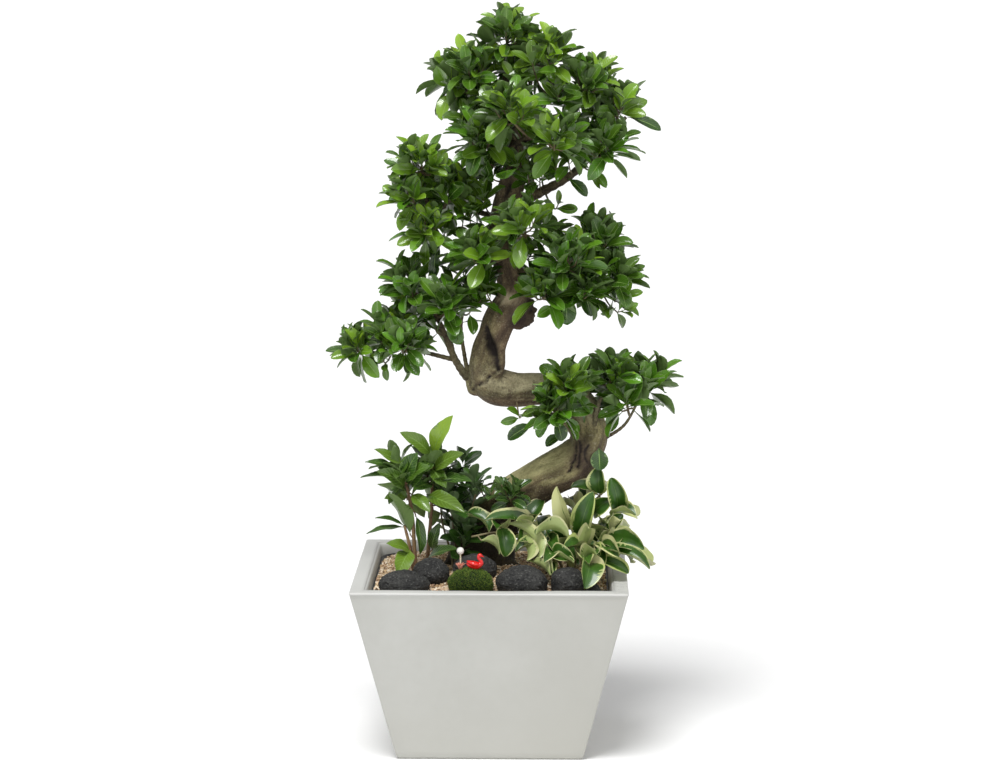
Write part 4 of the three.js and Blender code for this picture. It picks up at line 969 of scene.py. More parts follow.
def crisp_margins(mesh, leaf_vertices):
    """Marks the two margin lines of every blade as sharp: the edges whose ends are both the first
    or both the fifth point of a ring."""
    ends = np.empty(len(mesh.edges) * 2, np.int32)
    mesh.edges.foreach_get("vertices", ends)
    ends = ends.reshape(-1, 2)
    place = ends % 8
    margin = (place[:, 0] == place[:, 1]) & np.isin(place[:, 0], (0, 4)) & (ends.max(1) < leaf_vertices)
    mesh.attributes.new("sharp_edge", "BOOLEAN", "EDGE").data.foreach_set("value", margin)


def leaf_rows(items):
    """Rows for blades from (foot, tip, upper side, width) in millimetres. The upper side may be
    left out, and is then the front."""
    rows = []
    for foot, tip, *face, width in items:
        rows.append([*foot, *tip, *(face[0] if face else FRONT_FACE), width])
    return np.array(rows, float) * ([MM] * 6 + [1] * 3 + [MM])


def shoot_leaves(shoot, count, length, width, phase, draw, young=0.5):
    """The leaves of a shoot, which is a path: they go round it by the golden angle, the lower ones
    long and spread wide, the upper ones short and steep. Returns rows for blades and each leaf's
    youth."""
    rows, youth = [], []
    for k in range(count):
        share = k / (count - 1)
        at = (0.2 + 0.8 * share) * (len(shoot) - 1)
        below = min(int(at), len(shoot) - 2)
        base = shoot[below] + (at - below) * (shoot[below + 1] - shoot[below])
        axis = unit(shoot[below + 1] - shoot[below])
        side = unit(np.cross((0.3, 1.0, 0.1), axis))
        other = np.cross(axis, side)
        spread = 1.36 - 0.85 * share + 0.3 * (draw.random() - 0.5)
        turn = phase + k * GOLDEN_ANGLE + 0.3 * (draw.random() - 0.5)
        out = side * math.cos(turn) + other * math.sin(turn)
        along = axis * math.cos(spread) + out * math.sin(spread)
        face = axis * math.sin(spread) - out * math.cos(spread) + 0.45 * TO_LIGHT
        face = face + 0.3 * (draw.random(3) - 0.5)
        age = 1 - (0.18 + 0.16 * young) * share**2
        size = age * (0.84 + 0.28 * draw.random())
        wide = width * size * (0.88 + 0.24 * draw.random())
        rows.append([*base, *(base + along * length * size), *face, wide])
        youth.append(min(1.0, young * (0.3 + 0.7 * share) * (0.6 + 0.7 * draw.random())))
    return rows, youth


def leafy(name, materials, slot, node, leaf_mesh, tone, youth, stems):
    """A piece of leaves and stems in one mesh: the first material on leaves, the second on stems.
    tone and youth have a number for each leaf."""
    verts, groups, uv, under = leaf_mesh
    per_leaf = len(verts) // len(tone)
    stem_verts, stem_groups = joined(stems)
    all_verts = np.vstack([verts, stem_verts])
    mesh = mesh_of(name, all_verts, groups + [g + len(verts) for g in stem_groups])
    crisp_margins(mesh, len(verts))
    extra = len(stem_verts)
    stem_faces = sum(len(g) for g in stem_groups)
    give_uv(mesh, np.vstack([uv, np.full((extra, 2), 0.5)]))
    give(mesh, "tone", np.concatenate([np.repeat(tone, per_leaf), np.full(extra, 0.5)]))
    give(mesh, "youth", np.concatenate([np.repeat(youth, per_leaf), np.zeros(extra)]))
    give(mesh, "under", np.concatenate([under, np.zeros(stem_faces)]), domain="FACE")
    piece(name, mesh, materials, slot, *([node] if node else []))
    index = np.concatenate([np.zeros(len(under)), np.ones(stem_faces)]).astype(np.int32)
    mesh.polygons.foreach_set("material_index", index)


BANYAN_LEAF = leaf_material(
    "banyan_leaf", (0.004, 0.018, 0.002), (0.100, 0.300, 0.012), (0.250, 0.430, 0.024),
    (0.120, 0.200, 0.055), (0.330, 0.500, 0.140), 10.0, 0.20, 0.10
)
SHRUB_LEAF = leaf_material(
    "shrub_leaf", (0.008, 0.028, 0.005), (0.030, 0.095, 0.012), (0.09, 0.19, 0.02),
    (0.11, 0.17, 0.07), (0.12, 0.24, 0.05), 8.0, 0.26, 0.12
)
BROAD_LEAF = leaf_material(
    "broad_leaf", (0.010, 0.036, 0.003), (0.060, 0.160, 0.010), (0.25, 0.40, 0.030),
    (0.15, 0.24, 0.07), (0.24, 0.40, 0.08), 9.0, 0.30, 0.38, climb=0.55, relief_depth=0.0014
)
WAX_LEAF = wax_leaf_material()
TWIG = stem_material("twig", (0.075, 0.052, 0.026), (0.21, 0.17, 0.08), 160.0)
RED_STEM = stem_material("red_stem", (0.16, 0.075, 0.045), (0.30, 0.20, 0.09), 120.0)
WAX_STEM = stem_material("wax_stem", (0.12, 0.09, 0.045), (0.30, 0.26, 0.13), 140.0)
BARK = bark_material()
BANYAN_BLADE = {
    "form": OBOVATE, "stations": 7, "stalk": 0.13, "thick": 0.0005, "fold": 0.34, "arch": 0.55, "wave": 0.05,
}


# Wood: trunk, strands, roots and branches


def fluting(angle, count):
    """A factor on the trunk's radius: 1 with sines of the angle and of the share of its length."""
    t = np.linspace(0, 1, count)[:, None]
    a = angle[None]
    broad = 1 + 0.07 * np.sin(2 * a + 9 * t) + 0.05 * np.sin(3 * a - 14 * t)
    return broad + 0.03 * np.sin(47 * t) + 0.025 * np.sin(7 * a + 30 * t)


def branch_paths():
    """Each branch as a path whose fourth column is its radius, which shrinks evenly by point."""
    for (first, last), points in BRANCHES:
        count = len(points)
        radii = first + (last - first) * np.arange(count) / (count - 1)
        yield curve(np.column_stack([points, radii]), 12 * count) * MM


def wood_shapes():
    """Closed tubes that overlap: the fluted trunk, its strands, its surface roots and the first
    stretch of each branch, which flares where it leaves the trunk."""
    axis = curve(TRUNK, 240) * MM
    shapes = [limb(axis, 64, swell=fluting)]
    for radii, points in STRANDS:
        shapes.append(limb(curve(np.column_stack([points, radii]), 40) * MM, 20))
    foot = scaled(TRUNK[1][:3])
    for degrees, reach in ROOTS:
        way = np.array([math.cos(math.radians(degrees)), math.sin(math.radians(degrees))])
        drop = ((14, 330), (46, 302), (reach, 278), (reach + 16, 266))
        points = [(*(foot[:2] / MM + way * out), z) for out, z in drop]
        shapes.append(limb(curve(np.column_stack([points, [22, 14, 6, 3]]), 30) * MM, 20))
    for path in branch_paths():
        near = path[: 7 * len(path) // 24]
        shapes.append(limb(near, 14, 1 + 0.8 * np.exp(-np.arange(len(near)) / 5)))
    return joined(shapes), axis


def remeshed(name, verts, groups, voxel):
    """The outer skin of overlapping closed shapes, as even small quads: vertices and faces."""
    source = put(name, mesh_of(name, verts, groups))
    modifier = source.modifiers.new("skin", "REMESH")
    modifier.mode = "VOXEL"
    modifier.voxel_size = voxel
    skin = source.evaluated_get(bpy.context.evaluated_depsgraph_get()).to_mesh()
    out = np.empty(len(skin.vertices) * 3, np.float32)
    skin.vertices.foreach_get("co", out)
    corners = np.empty(len(skin.loops), np.int32)
    skin.loops.foreach_get("vertex_index", corners)
    counts = np.empty(len(skin.polygons), np.int32)
    skin.polygons.foreach_get("loop_total", counts)
    starts = np.empty(len(skin.polygons), np.int32)
    skin.polygons.foreach_get("loop_start", starts)
    faces = []
    for k in (3, 4):
        if (counts == k).any():
            faces.append(corners[starts[counts == k][:, None] + np.arange(k)])
    bpy.data.objects.remove(source)
    return out.reshape(-1, 3).astype(float), faces


def edges_of(faces):
    """Every pair of neighbouring corners, once."""
    pairs = np.vstack([np.stack([g, np.roll(g, -1, axis=1)], -1).reshape(-1, 2) for g in faces])
    return np.unique(np.sort(pairs, axis=1), axis=0)


def averaged(values, edges):
    """Each vertex's value replaced by the mean of its neighbours' values."""
    total = np.zeros_like(values)
    np.add.at(total, edges[:, 0], values[edges[:, 1]])
    np.add.at(total, edges[:, 1], values[edges[:, 0]])
    count = np.bincount(edges.ravel(), minlength=len(values)).astype(float)
    return total / count.reshape(-1, *([1] * (values.ndim - 1)))


def relaxed(values, edges, rounds, share=1.0):
    """Values moved in rounds, each time by a share of the way to the mean of their neighbours."""
    for _ in range(rounds):
        values = (1 - share) * values + share * averaged(values, edges)
    return values


def normals_of(verts, faces):
    """Vertex normals: the sum of the cross products of the faces' diagonals or sides."""
    total = np.zeros_like(verts)
    for g in faces:
        if g.shape[1] == 4:
            way = np.cross(verts[g[:, 2]] - verts[g[:, 0]], verts[g[:, 3]] - verts[g[:, 1]])
        else:
            way = np.cross(verts[g[:, 1]] - verts[g[:, 0]], verts[g[:, 2]] - verts[g[:, 0]])
        for c in range(g.shape[1]):
            np.add.at(total, g[:, c], way)
    return unit(total)


def straightened(verts, axis):
    """Places as if the path were straight: how far out to each side of the nearest station, and
    how far along. Grain on these follows the trunk round its bends."""
    across, over = side_axes(axis)
    along = np.concatenate([[0], np.cumsum(np.linalg.norm(np.diff(axis, axis=0), axis=1))])
    nearest = []
    for block in np.array_split(verts, 40):
        nearest.append(np.argmin(((block[:, None] - axis[None]) ** 2).sum(2), axis=1))
    nearest = np.concatenate(nearest)
    off = verts - axis[nearest]
    way = unit(np.gradient(axis, axis=0))[nearest]
    right, front = (off * across[nearest]).sum(1), (off * over[nearest]).sum(1)
    return np.stack([right, front, along[nearest] + (off * way).sum(1)], -1)


def patches(verts, places):
    """How far each vertex lies in the patches: e to the minus fourth power of its distance, in
    half sizes."""
    total = 0
    for at, size in places:
        total = total + np.exp(-(np.linalg.norm((verts - scaled(at)) / scaled(size), axis=1) ** 4))
    return total


def wrinkled(verts):
    """How near each vertex is to the places where the bark is folded: e to the minus square of the
    distance, in the place's size."""
    total = 0
    for at, size in WRINKLES:
        total = total + np.exp(-(np.linalg.norm(verts - scaled(at), axis=1) / (size * MM)) ** 2)
    return np.clip(total, 0, 1)


def on_front(verts, places):
    """For places given as x and z, the points of the skin that lie foremost there: the smallest y
    among the vertices within 4 mm, or the nearest vertex where there are none."""
    found = []
    for x, z in places:
        gap = np.hypot(verts[:, 0] - x, verts[:, 2] - z)
        found.append(verts[np.argmin(np.where(gap < 0.004, verts[:, 1], 1 + gap))])
    return np.array(found)


def grooved(verts, push):
    """The push of each vertex with the grooves pressed in, and how dark they are there. Across a
    groove both fall off as e to the minus square of the distance from its wavering line, in half
    widths."""
    cut = np.zeros(len(verts))
    for width, depth, points in GROOVES:
        line = on_front(verts, curve(scaled(points), 60))
        waver = np.stack([cloud(line * 130 + 9 * c, 45 + c, 2) for c in range(3)], -1)
        line = line + width * MM * waver
        gap = np.linalg.norm(verts[:, None] - line[None], axis=2).min(1)
        mark = np.exp(-((gap / (width * MM)) ** 2))
        cut = np.maximum(cut, mark * min(1, depth / 5))
        push = push - depth * MM * mark
    return push, cut


def wood():
    """The tree's wood: the skin of its shapes, smoothed and then pushed along its normals by grain,
    lumps, folds, grooves and the knob's roughness, less where it is thin, with each whole branch.
    painted_shade is painted shade for the bark: how far a place lies below the mean of its surroundings,
    near and wide, with the grooves, and a little on every branch."""
    (verts, groups), axis = wood_shapes()
    verts, faces = remeshed("wood", verts, groups, WOOD_VOXEL)
    edges = edges_of(faces)
    verts = relaxed(verts, edges, 5, 0.6)
    straight = straightened(verts, axis[:, :3])
    normal = normals_of(verts, faces)
    girth = np.linalg.norm(straight[:, :2], axis=1)
    thick = np.clip((girth - 0.010) / 0.012, 0, 1)
    grain = cloud(straight * (110, 110, 22), 3, 3)
    lumps = cloud(straight * (30, 30, 16), 9, 2)
    fold = np.sin(straight[:, 2] * 700 + 9 * cloud(verts * 30, 33, 2))
    push = RELIEF["grain"] * grain + RELIEF["lumps"] * lumps + RELIEF["folds"] * fold * wrinkled(verts)
    push, cut = grooved(verts, push)
    push = push + RELIEF["knob"] * patches(verts, STAINS[:1]) * cloud(verts * 130, 61, 3)
    verts = verts + normal * (push * thick)[:, None]
    bowl = ((averaged(verts, edges) - verts) * normals_of(verts, faces)).sum(1)
    bowl = relaxed(bowl, edges, 3)
    deep = ((relaxed(verts, edges, 14) - verts) * normal).sum(1)
    painted_shade = 0.35 * np.clip(bowl / 0.00030, 0, 1) + np.clip((deep - 0.0006) / 0.0022, 0, 1) + 1.2 * cut
    parts, fields = [(verts, faces)], [straight]
    painted_shades = [np.clip(painted_shade, 0, 1)]
    for path in branch_paths():
        v, g = limb(path, 12, 1 + 0.08 * np.sin(np.arange(len(path)) * 1.9))
        parts.append((v, g))
        fields.append(straightened(v, path[:, :3]))
        painted_shades.append(np.full(len(v), 0.3))
    all_verts, all_faces = joined(parts)
    mesh = mesh_of("banyan_wood", all_verts, all_faces)
    give(mesh, "straight", np.vstack(fields), "FLOAT_VECTOR")
    give(mesh, "painted_shade", np.concatenate(painted_shades))
    give(mesh, "scar", patches(all_verts, SCARS))
    give(mesh, "stain", patches(all_verts, STAINS))
    give(mesh, "ruddy", np.clip(patches(all_verts, RUDDY), 0, 1))
    piece("banyan_wood", mesh, [BARK], "bark", "trunk")


wood()


# Sprays of the banyan


def points_on_wood(count):
    """Points along the trunk above the roots and along every branch, so many on each."""
    lines = [scaled(TRUNK[3:])[:, :3]] + [scaled(points) for _, points in BRANCHES]
    return np.vstack([curve(line, count) for line in lines])


def spray_starts():
    """Where each spray leaves the wood: the nearest free point to a place below its middle."""
    wood_points = points_on_wood(25)
    used, starts = np.empty((0, 3)), {}
    for name, (at, reach, _) in SPRAYS.items():
        aim = scaled(at) - UP * 0.6 * reach * MM
        gap = np.linalg.norm(wood_points[:, None] - used[None], axis=2).min(1, initial=1.0)
        free = wood_points[gap > START_SPACING]
        start = free[np.argmin(np.linalg.norm(free - aim, axis=1))]
        used = np.vstack([used, start])
        starts[name] = start
    return starts


def spray(index, name, start):
    """A leader from the wood to the spray's heart, and shoots that leave it evenly all round, then
    turn up, each with leaves to its tip."""
    at, reach, count = SPRAYS[name]
    draw = np.random.default_rng(500 + index)
    middle, reach = scaled(at), reach * MM
    outwards = unit((middle - start) * (1, 1, 0))
    heart = middle + 0.1 * (start - middle) - UP * 0.25 * reach
    bend = start + 0.6 * (heart - start) - UP * 0.004
    leader = curve([start, bend, heart, heart + UP * 0.2 * reach], 14)
    stems = [tube(leader, evenly(*LEADER, 14), 7)]
    rows, youth, tone = [], [], []
    size, dim = LEAF_SCALE.get(name, 1.0), LEAF_TONE.get(name, 1.0)
    chance = 0.12 + 0.5 * (middle[2] - 0.55) / 0.6
    phase = 6 * draw.random()
    for i in range(count):
        height = 0.95 - 1.35 * (i + 0.5) / count
        turn = phase + i * GOLDEN_ANGLE
        level = math.sqrt(1 - height * height)
        way = unit(np.array([level * math.cos(turn), level * math.sin(turn), height]) + 0.35 * outwards)
        foot = heart + (bend - heart) * 0.5 * (i / count)
        span = reach * (0.52 + 0.22 * draw.random())
        elbow = foot + way * 0.55 * span
        tip = elbow + unit(way + 1.2 * UP) * 0.6 * span
        shoot = curve([foot, elbow, tip], 8)
        stems.append(tube(shoot, evenly(*SHOOT, 8), 6))
        young = 0.9 if draw.random() < chance else 0.15
        length, width = BANYAN_LENGTH * size, BANYAN_WIDTH * size
        more, ages = shoot_leaves(shoot, LEAVES_A_SHOOT, length, width, index + 2.1 * i, draw, young)
        tone += list((0.6 * draw.random(len(more)) + 0.4 * draw.random()) * dim)
        rows += more
        youth += [age * dim for age in ages]
    mesh = blades(np.array(rows), **BANYAN_BLADE, twist=0.4, seed=900 + index)
    tone, youth = np.array(tone) ** 1.6, np.array(youth)
    leafy(name + "_leaves", [BANYAN_LEAF, TWIG], "banyan_leaf", name, mesh, tone, youth, stems)


def inner_leaves():
    """Shoots that grow from the nearest wood, and the single leaves, in one piece. Leaves low down
    are darker and older."""
    wood_points = points_on_wood(40)
    draw = np.random.default_rng(31)
    rows, youth, stems = [], [], []
    for index, (tip, count, length) in enumerate(INNER_SHOOTS):
        tip = scaled(tip)
        start = wood_points[np.argmin(np.linalg.norm(wood_points + UP * 0.015 - tip, axis=1))]
        bend = start + 0.6 * (tip - start) - UP * 0.12 * np.linalg.norm(tip - start)
        shoot = curve([start, bend, tip], 12)
        stems.append(tube(shoot, evenly(*INNER_STEM, 12), 6))
        last = curve([tip + 0.5 * (bend - tip), tip, tip + 0.012 * unit(tip - bend + 0.02 * UP)], 8)
        stems.append(tube(last, evenly(*INNER_TIP, 8), 6))
        more, ages = shoot_leaves(last, count, length * MM, 0.47 * length * MM, 1.7 * index, draw, 0.4)
        rows += more
        youth += ages
    rows = np.vstack([np.array(rows), leaf_rows(LONE_LEAVES)])
    mesh = blades(rows, **BANYAN_BLADE, twist=0.3, seed=33)
    lift = (rows[:, 2] - 0.40) / 0.20
    tone = draw.random(len(rows)) ** 1.7 * np.clip(lift, 0.15, 1)
    tone[-len(LONE_LEAVES) :] *= 0.3
    youth = np.concatenate([youth, np.zeros(len(LONE_LEAVES))]) * np.clip(lift, 0.1, 1)
    leafy("inner_leaves", [BANYAN_LEAF, TWIG], "banyan_leaf", None, mesh, tone, youth, stems)


def sprays():
    """Every spray of the list, each with its own number for its draws."""
    for index, (name, start) in enumerate(spray_starts().items()):
        spray(index, name, start)


inner_leaves()
sprays()


# Planter, liner and ground


def square_rings(profile, steps):
    """Level rings of a square with rounded corners, one for each (half width, height, corner)."""
    half, z, corner = (np.asarray(c, float)[:, None] for c in zip(*profile))
    angle = np.concatenate([np.linspace(q, q + math.pi / 2, steps) for q in np.arange(4) * math.pi / 2])
    quarter = np.repeat(np.arange(4), steps) * math.pi / 2 + math.pi / 4
    cx = np.sign(np.cos(quarter))[None] * (half - corner)
    cy = np.sign(np.sin(quarter))[None] * (half - corner)
    x = cx + corner * np.cos(angle)[None]
    y = cy + corner * np.sin(angle)[None]
    return np.stack([x, y, np.broadcast_to(z, x.shape)], -1) * MM


def split_straights(rings, cuts):
    """Puts points along the straight sides of square rings, so that they can be made uneven."""
    steps = rings.shape[1] // 4
    share = np.linspace(0, 1, cuts + 2)[1:-1]
    out = []
    for q in range(4):
        corner = rings[:, q * steps : (q + 1) * steps]
        after = rings[:, ((q + 1) * steps) % rings.shape[1]]
        out.append(corner)
        going = share[None, :, None]
        out.append(corner[:, -1:, :] * (1 - going) + after[:, None, :] * going)
    return np.concatenate(out, axis=1)


def planter_half(z):
    """Half the planter's outer width at a height: straight from the foot to the top."""
    return PLANTER["foot"] + (PLANTER["top"] - PLANTER["foot"]) * z / PLANTER["height"]


def rounded(start, end, count=5):
    """Profile points on a quarter round between two profile points, bulging at their corner."""
    a = np.linspace(0, math.pi / 2, count)
    (h0, z0, c0), (h1, z1, c1) = start, end
    half, z = h1 + (h0 - h1) * np.cos(a), z0 + (z1 - z0) * np.sin(a)
    return list(zip(half, z, c0 + (c1 - c0) * a / (math.pi / 2)))


def planter():
    """The planter's walls and floor as one closed skin: level square rings out along the underside,
    up the outside, over the soft rim and down the inside, pushed by noise of under a millimetre."""
    top, inner_top = PLANTER["height"], PLANTER["top"] - PLANTER["wall"]
    floor = PLANTER["floor"]
    outer = [(planter_half(z), z, 3.0) for z in np.linspace(4, top - 3.5, 30)]
    profile = [(0.5, 0, 0.3), (60, 0, 2.5), (148, 0, 2.5), (planter_half(0) - 2.2, 0, 2.6)]
    profile += rounded((planter_half(0) - 2.2, 0, 2.6), (planter_half(3.5), 3.5, 3.0))[1:-1][::-1]
    profile += outer
    profile += rounded((planter_half(top), top - 3.0, 3.0), (PLANTER["top"] - 3.2, top, 4.0))
    profile += [(inner_top + 8, top, 6)]
    profile += rounded((inner_top + 2.4, top, 6.5), (inner_top - 0.3, top - 3.0, 6.5))
    profile += [(planter_half(z) - PLANTER["wall"], z, 6.5) for z in np.linspace(top - 8, floor + 3, 16)]
    profile += [(planter_half(floor) - PLANTER["wall"] - 2, floor, 6), (60, floor, 5), (0.5, floor, 0.3)]
    rings = split_straights(square_rings(profile, 5), 22)
    verts, groups = loft(rings[:, ::-1])
    uneven = 0.0011 * cloud(verts * 14, 31, 2) * np.clip((verts[:, 2] - 0.004) / 0.02, 0, 1)
    verts = verts + normals_of(verts, groups) * uneven[:, None]
    return mesh_of("planter_shell", verts, groups)


def with_drains(mesh):
    """Cuts the drain holes through the floor."""
    shell = put("shell", mesh)
    pins = []
    for x, y in DRAINS:
        path = curve(scaled([(x, y, -6), (x, y, 14), (x, y, 34)]), 5)
        pins.append(tube(path, np.full(5, DRAIN_RADIUS * MM), 32))
    cutter = put("cutter", mesh_of("cutter", *joined(pins)))
    cut = shell.modifiers.new("drains", "BOOLEAN")
    cut.operation = "DIFFERENCE"
    cut.object = cutter
    graph = bpy.context.evaluated_depsgraph_get()
    made = bpy.data.meshes.new_from_object(shell.evaluated_get(graph))
    bpy.data.objects.remove(shell)
    bpy.data.objects.remove(cutter)
    return made


def mark_inside(mesh):
    """inside is 1 on what lies within the outer wall's inner faces."""
    co = np.empty(len(mesh.vertices) * 3, np.float32)
    mesh.vertices.foreach_get("co", co)
    co = co.reshape(-1, 3) / MM
    reach = np.abs(co[:, :2]).max(1)
    wall = planter_half(co[:, 2]) - PLANTER["wall"]
    give(mesh, "inside", (reach < wall + 3.5) & (co[:, 2] > 20))


planter_mesh = with_drains(planter())
mark_inside(planter_mesh)
planter_mesh.materials.clear()
piece("planter_shell", planter_mesh, [planter_material()], "planter_white", "planter")


def cavity_half(z):
    """Half the width inside the planter's walls at a height."""
    return planter_half(z) - PLANTER["wall"]


def liner():
    """The black tray: square rings up its outside to a lip and down its inside, closed."""
    foot, rim, wall, corner = LINER["foot"], LINER["rim"], LINER["wall"], LINER["corner"]
    gap, base = LINER["gap"], foot + LINER["base"]
    out = [(cavity_half(z) - gap, z, corner) for z in np.linspace(foot + 2, rim - 7, 8)]
    edge = cavity_half(rim) - gap + LINER["lip"]
    profile = [(0.5, foot, 0.3), (out[0][0] - 4, foot, corner - 4)] + out
    lip = ((0.4, 5), (0, 4), (0, 1), (0.8, 0))
    profile += [(edge - back, rim - below, corner) for back, below in lip]
    heights = np.linspace(rim - 0.6, foot + 4, 8)
    inside = [(cavity_half(z) - gap - wall, z, corner - wall) for z in heights]
    profile += inside + [(inside[-1][0] - 3, base, corner - 6), (0.5, base, 0.3)]
    mesh = mesh_of("liner_tray", *loft(square_rings(profile, 12)[:, ::-1]))
    blacks = (0.010, 0.010, 0.010), (0.022, 0.022, 0.021)
    black = plain_material("liner_black", *blacks, 60.0, 0.45, 0.2, 0.0004)
    piece("liner_tray", mesh, [black], "liner_black", "liner")


liner()


def fill_half(z):
    """Half the width of what the liner holds, at a height."""
    return cavity_half(z) - LINER["gap"] - LINER["wall"] - LINER["slack"]


def ground_height(x, y):
    """Height of the gravel in millimetres: from the crown at the trunk down to the edge, by how far
    out a place is, to the power 2.5, less the hollow at the corner, with small noise."""
    half = fill_half(GROUND["edge"])
    shares = []
    for at, middle in ((x, GROUND["x"]), (y, GROUND["y"])):
        off = at - middle
        shares.append(np.abs(off) / np.where(off > 0, half - middle, half + middle))
    out = np.maximum(*shares)
    level = GROUND["crown"] + (GROUND["heaped"] - GROUND["crown"]) * np.clip(out, 0, 1) ** 2.5
    away = (x - HOLLOW["x"]) ** 2 + (y - HOLLOW["y"]) ** 2
    dip = HOLLOW["depth"] * np.exp(-away / HOLLOW["reach"] ** 2)
    return level - dip + 3.0 * cloud(np.stack([x / 30, y / 30, 0 * x], -1), 41, 2)


def ground():
    """A bed of gravel: rings from the middle of the underside out, up the edge and back in."""
    half, corner = fill_half(GROUND["edge"]), GROUND["corner"]
    shares = np.linspace(0.98, 0.01, 40)
    profile = [(1, GROUND["bed"], 0.5), (fill_half(GROUND["bed"]), GROUND["bed"], corner)]
    profile += [(half, GROUND["edge"] - 3, corner)] + [(half * s, 0, corner * s) for s in shares]
    rings = split_straights(square_rings(profile, 12), 10)
    top = rings[3:]
    middle = np.array([GROUND["x"], GROUND["y"]]) * MM
    share = shares[:, None, None]
    top[..., :2] += middle * (1 - share)
    level = ground_height(top[..., 0].ravel() / MM, top[..., 1].ravel() / MM) - 1.5
    top[..., 2] = level.reshape(top.shape[:2]) * MM
    mesh = mesh_of("gravel_bed", *loft(rings[:, ::-1]))
    browns = (0.060, 0.040, 0.024), (0.30, 0.21, 0.14)
    dirt = plain_material("gravel_dirt", *browns, 260.0, 0.9, 0.6, 0.001)
    piece("gravel_bed", mesh, [dirt], "gravel", "gravel")


ground()

CUBE = np.array([(x, y, z) for z in (-1, 1) for y in (-1, 1) for x in (-1, 1)], float) * 0.8
CUBE_FACES = np.array([(0, 2, 3, 1), (4, 5, 7, 6), (0, 1, 5, 4), (2, 6, 7, 3), (0, 4, 6, 2), (1, 3, 7, 5)])


def turned(count, draw):
    """Random turns as matrices, from unit quaternions."""
    q = unit(draw.normal(size=(count, 4)))
    w, x, y, z = q.T
    return np.stack(
        [1 - 2 * (y * y + z * z), 2 * (x * y - z * w), 2 * (x * z + y * w),
         2 * (x * y + z * w), 1 - 2 * (x * x + z * z), 2 * (y * z - x * w),
         2 * (x * z - y * w), 2 * (y * z + x * w), 1 - 2 * (x * x + y * y)], -1
    ).reshape(-1, 3, 3)


def chips():
    """Gravel chips: a staggered grid of small blocks, each pushed about, flattened, its corners
    moved and turned by its own draws. By the wall they lie on the liner's rim."""
    draw = np.random.default_rng(7)
    half = cavity_half(GROUND["edge"]) - 2
    step, closer = CHIP["step"], CHIP["rows"]
    rows = int(2 * half / (step * closer))
    columns = int(2 * half / step) + 1
    i, j = np.meshgrid(np.arange(rows), np.arange(columns), indexing="ij")
    x = -half + (j + 0.5 * (i % 2)) * step
    y = -half + i * step * closer
    x, y = (a.ravel() + step * 0.5 * (draw.random(a.size) - 0.5) for a in (x, y))
    straight = half - GROUND["corner"]
    corner = np.maximum(np.abs(x) - straight, 0) ** 2 + np.maximum(np.abs(y) - straight, 0) ** 2
    keep = (np.abs(x) < half) & (np.abs(y) < half) & (corner < (GROUND["corner"] - 2) ** 2)
    for at, size, *_ in [*STONES.values(), MOSS]:
        room = CHIP["stone"] * np.array(size)
        keep &= ((x - at[0]) / room[0]) ** 2 + ((y - at[1]) / room[1]) ** 2 > 1
    keep &= (x - TRUNK[1][0]) ** 2 + (y - TRUNK[1][1]) ** 2 > CHIP["trunk"] ** 2
    x, y = x[keep], y[keep]
    n = len(x)
    size = (CHIP["half"] + CHIP["spread"] * draw.random(n)) * MM
    squash = 0.7 + 0.7 * draw.random((n, 1, 3))
    rough = 1 + 0.45 * (draw.random((n, 8, 3)) - 0.5)
    shape = CUBE[None] * rough * squash * size[:, None, None]
    shape = np.einsum("nij,nkj->nki", turned(n, draw), shape)
    spilled = np.maximum(np.abs(x), np.abs(y)) > fill_half(GROUND["edge"]) - 1
    bare = spilled & (x < BARE_RIM["x"]) & (y > BARE_RIM["y"])
    z = np.where(spilled, LINER["rim"] + 1.6, ground_height(x, y)) + 0.9 * draw.random(n) - 0.6
    z = np.where(bare, z - BARE_RIM["sunk"], z)
    centre = np.stack([x, y, z], -1) * MM
    verts = (shape + centre[:, None]).reshape(-1, 3)
    faces = (CUBE_FACES[None] + 8 * np.arange(n)[:, None, None]).reshape(-1, 4)
    mesh = mesh_of("gravel_chips", verts, [faces], smooth=False)
    give(mesh, "tone", np.repeat(draw.random(n), 8))
    give(mesh, "youth", np.repeat((draw.random(n) < 0.3).astype(float), 8))
    piece("gravel_chips", mesh, [chip_material()], "gravel", "gravel")


chips()

soil_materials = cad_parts["soil"].data.materials
soil_materials.clear()
soil_materials.append(
    plain_material("potting_soil", (0.012, 0.008, 0.005), (0.06, 0.04, 0.025), 90.0, 0.95, 0.8, 0.002)
)


# Lava stones, moss


def ball(rows, around):
    """Directions over a sphere: a grid of latitudes and longitudes without the poles."""
    lat = np.linspace(-math.pi / 2, math.pi / 2, rows + 2)[1:-1, None]
    lon = np.linspace(0, 2 * math.pi, around, endpoint=False)
    z = np.broadcast_to(np.sin(lat), (rows, around))
    return np.stack([np.cos(lat) * np.cos(lon), np.cos(lat) * np.sin(lon), z], -1)


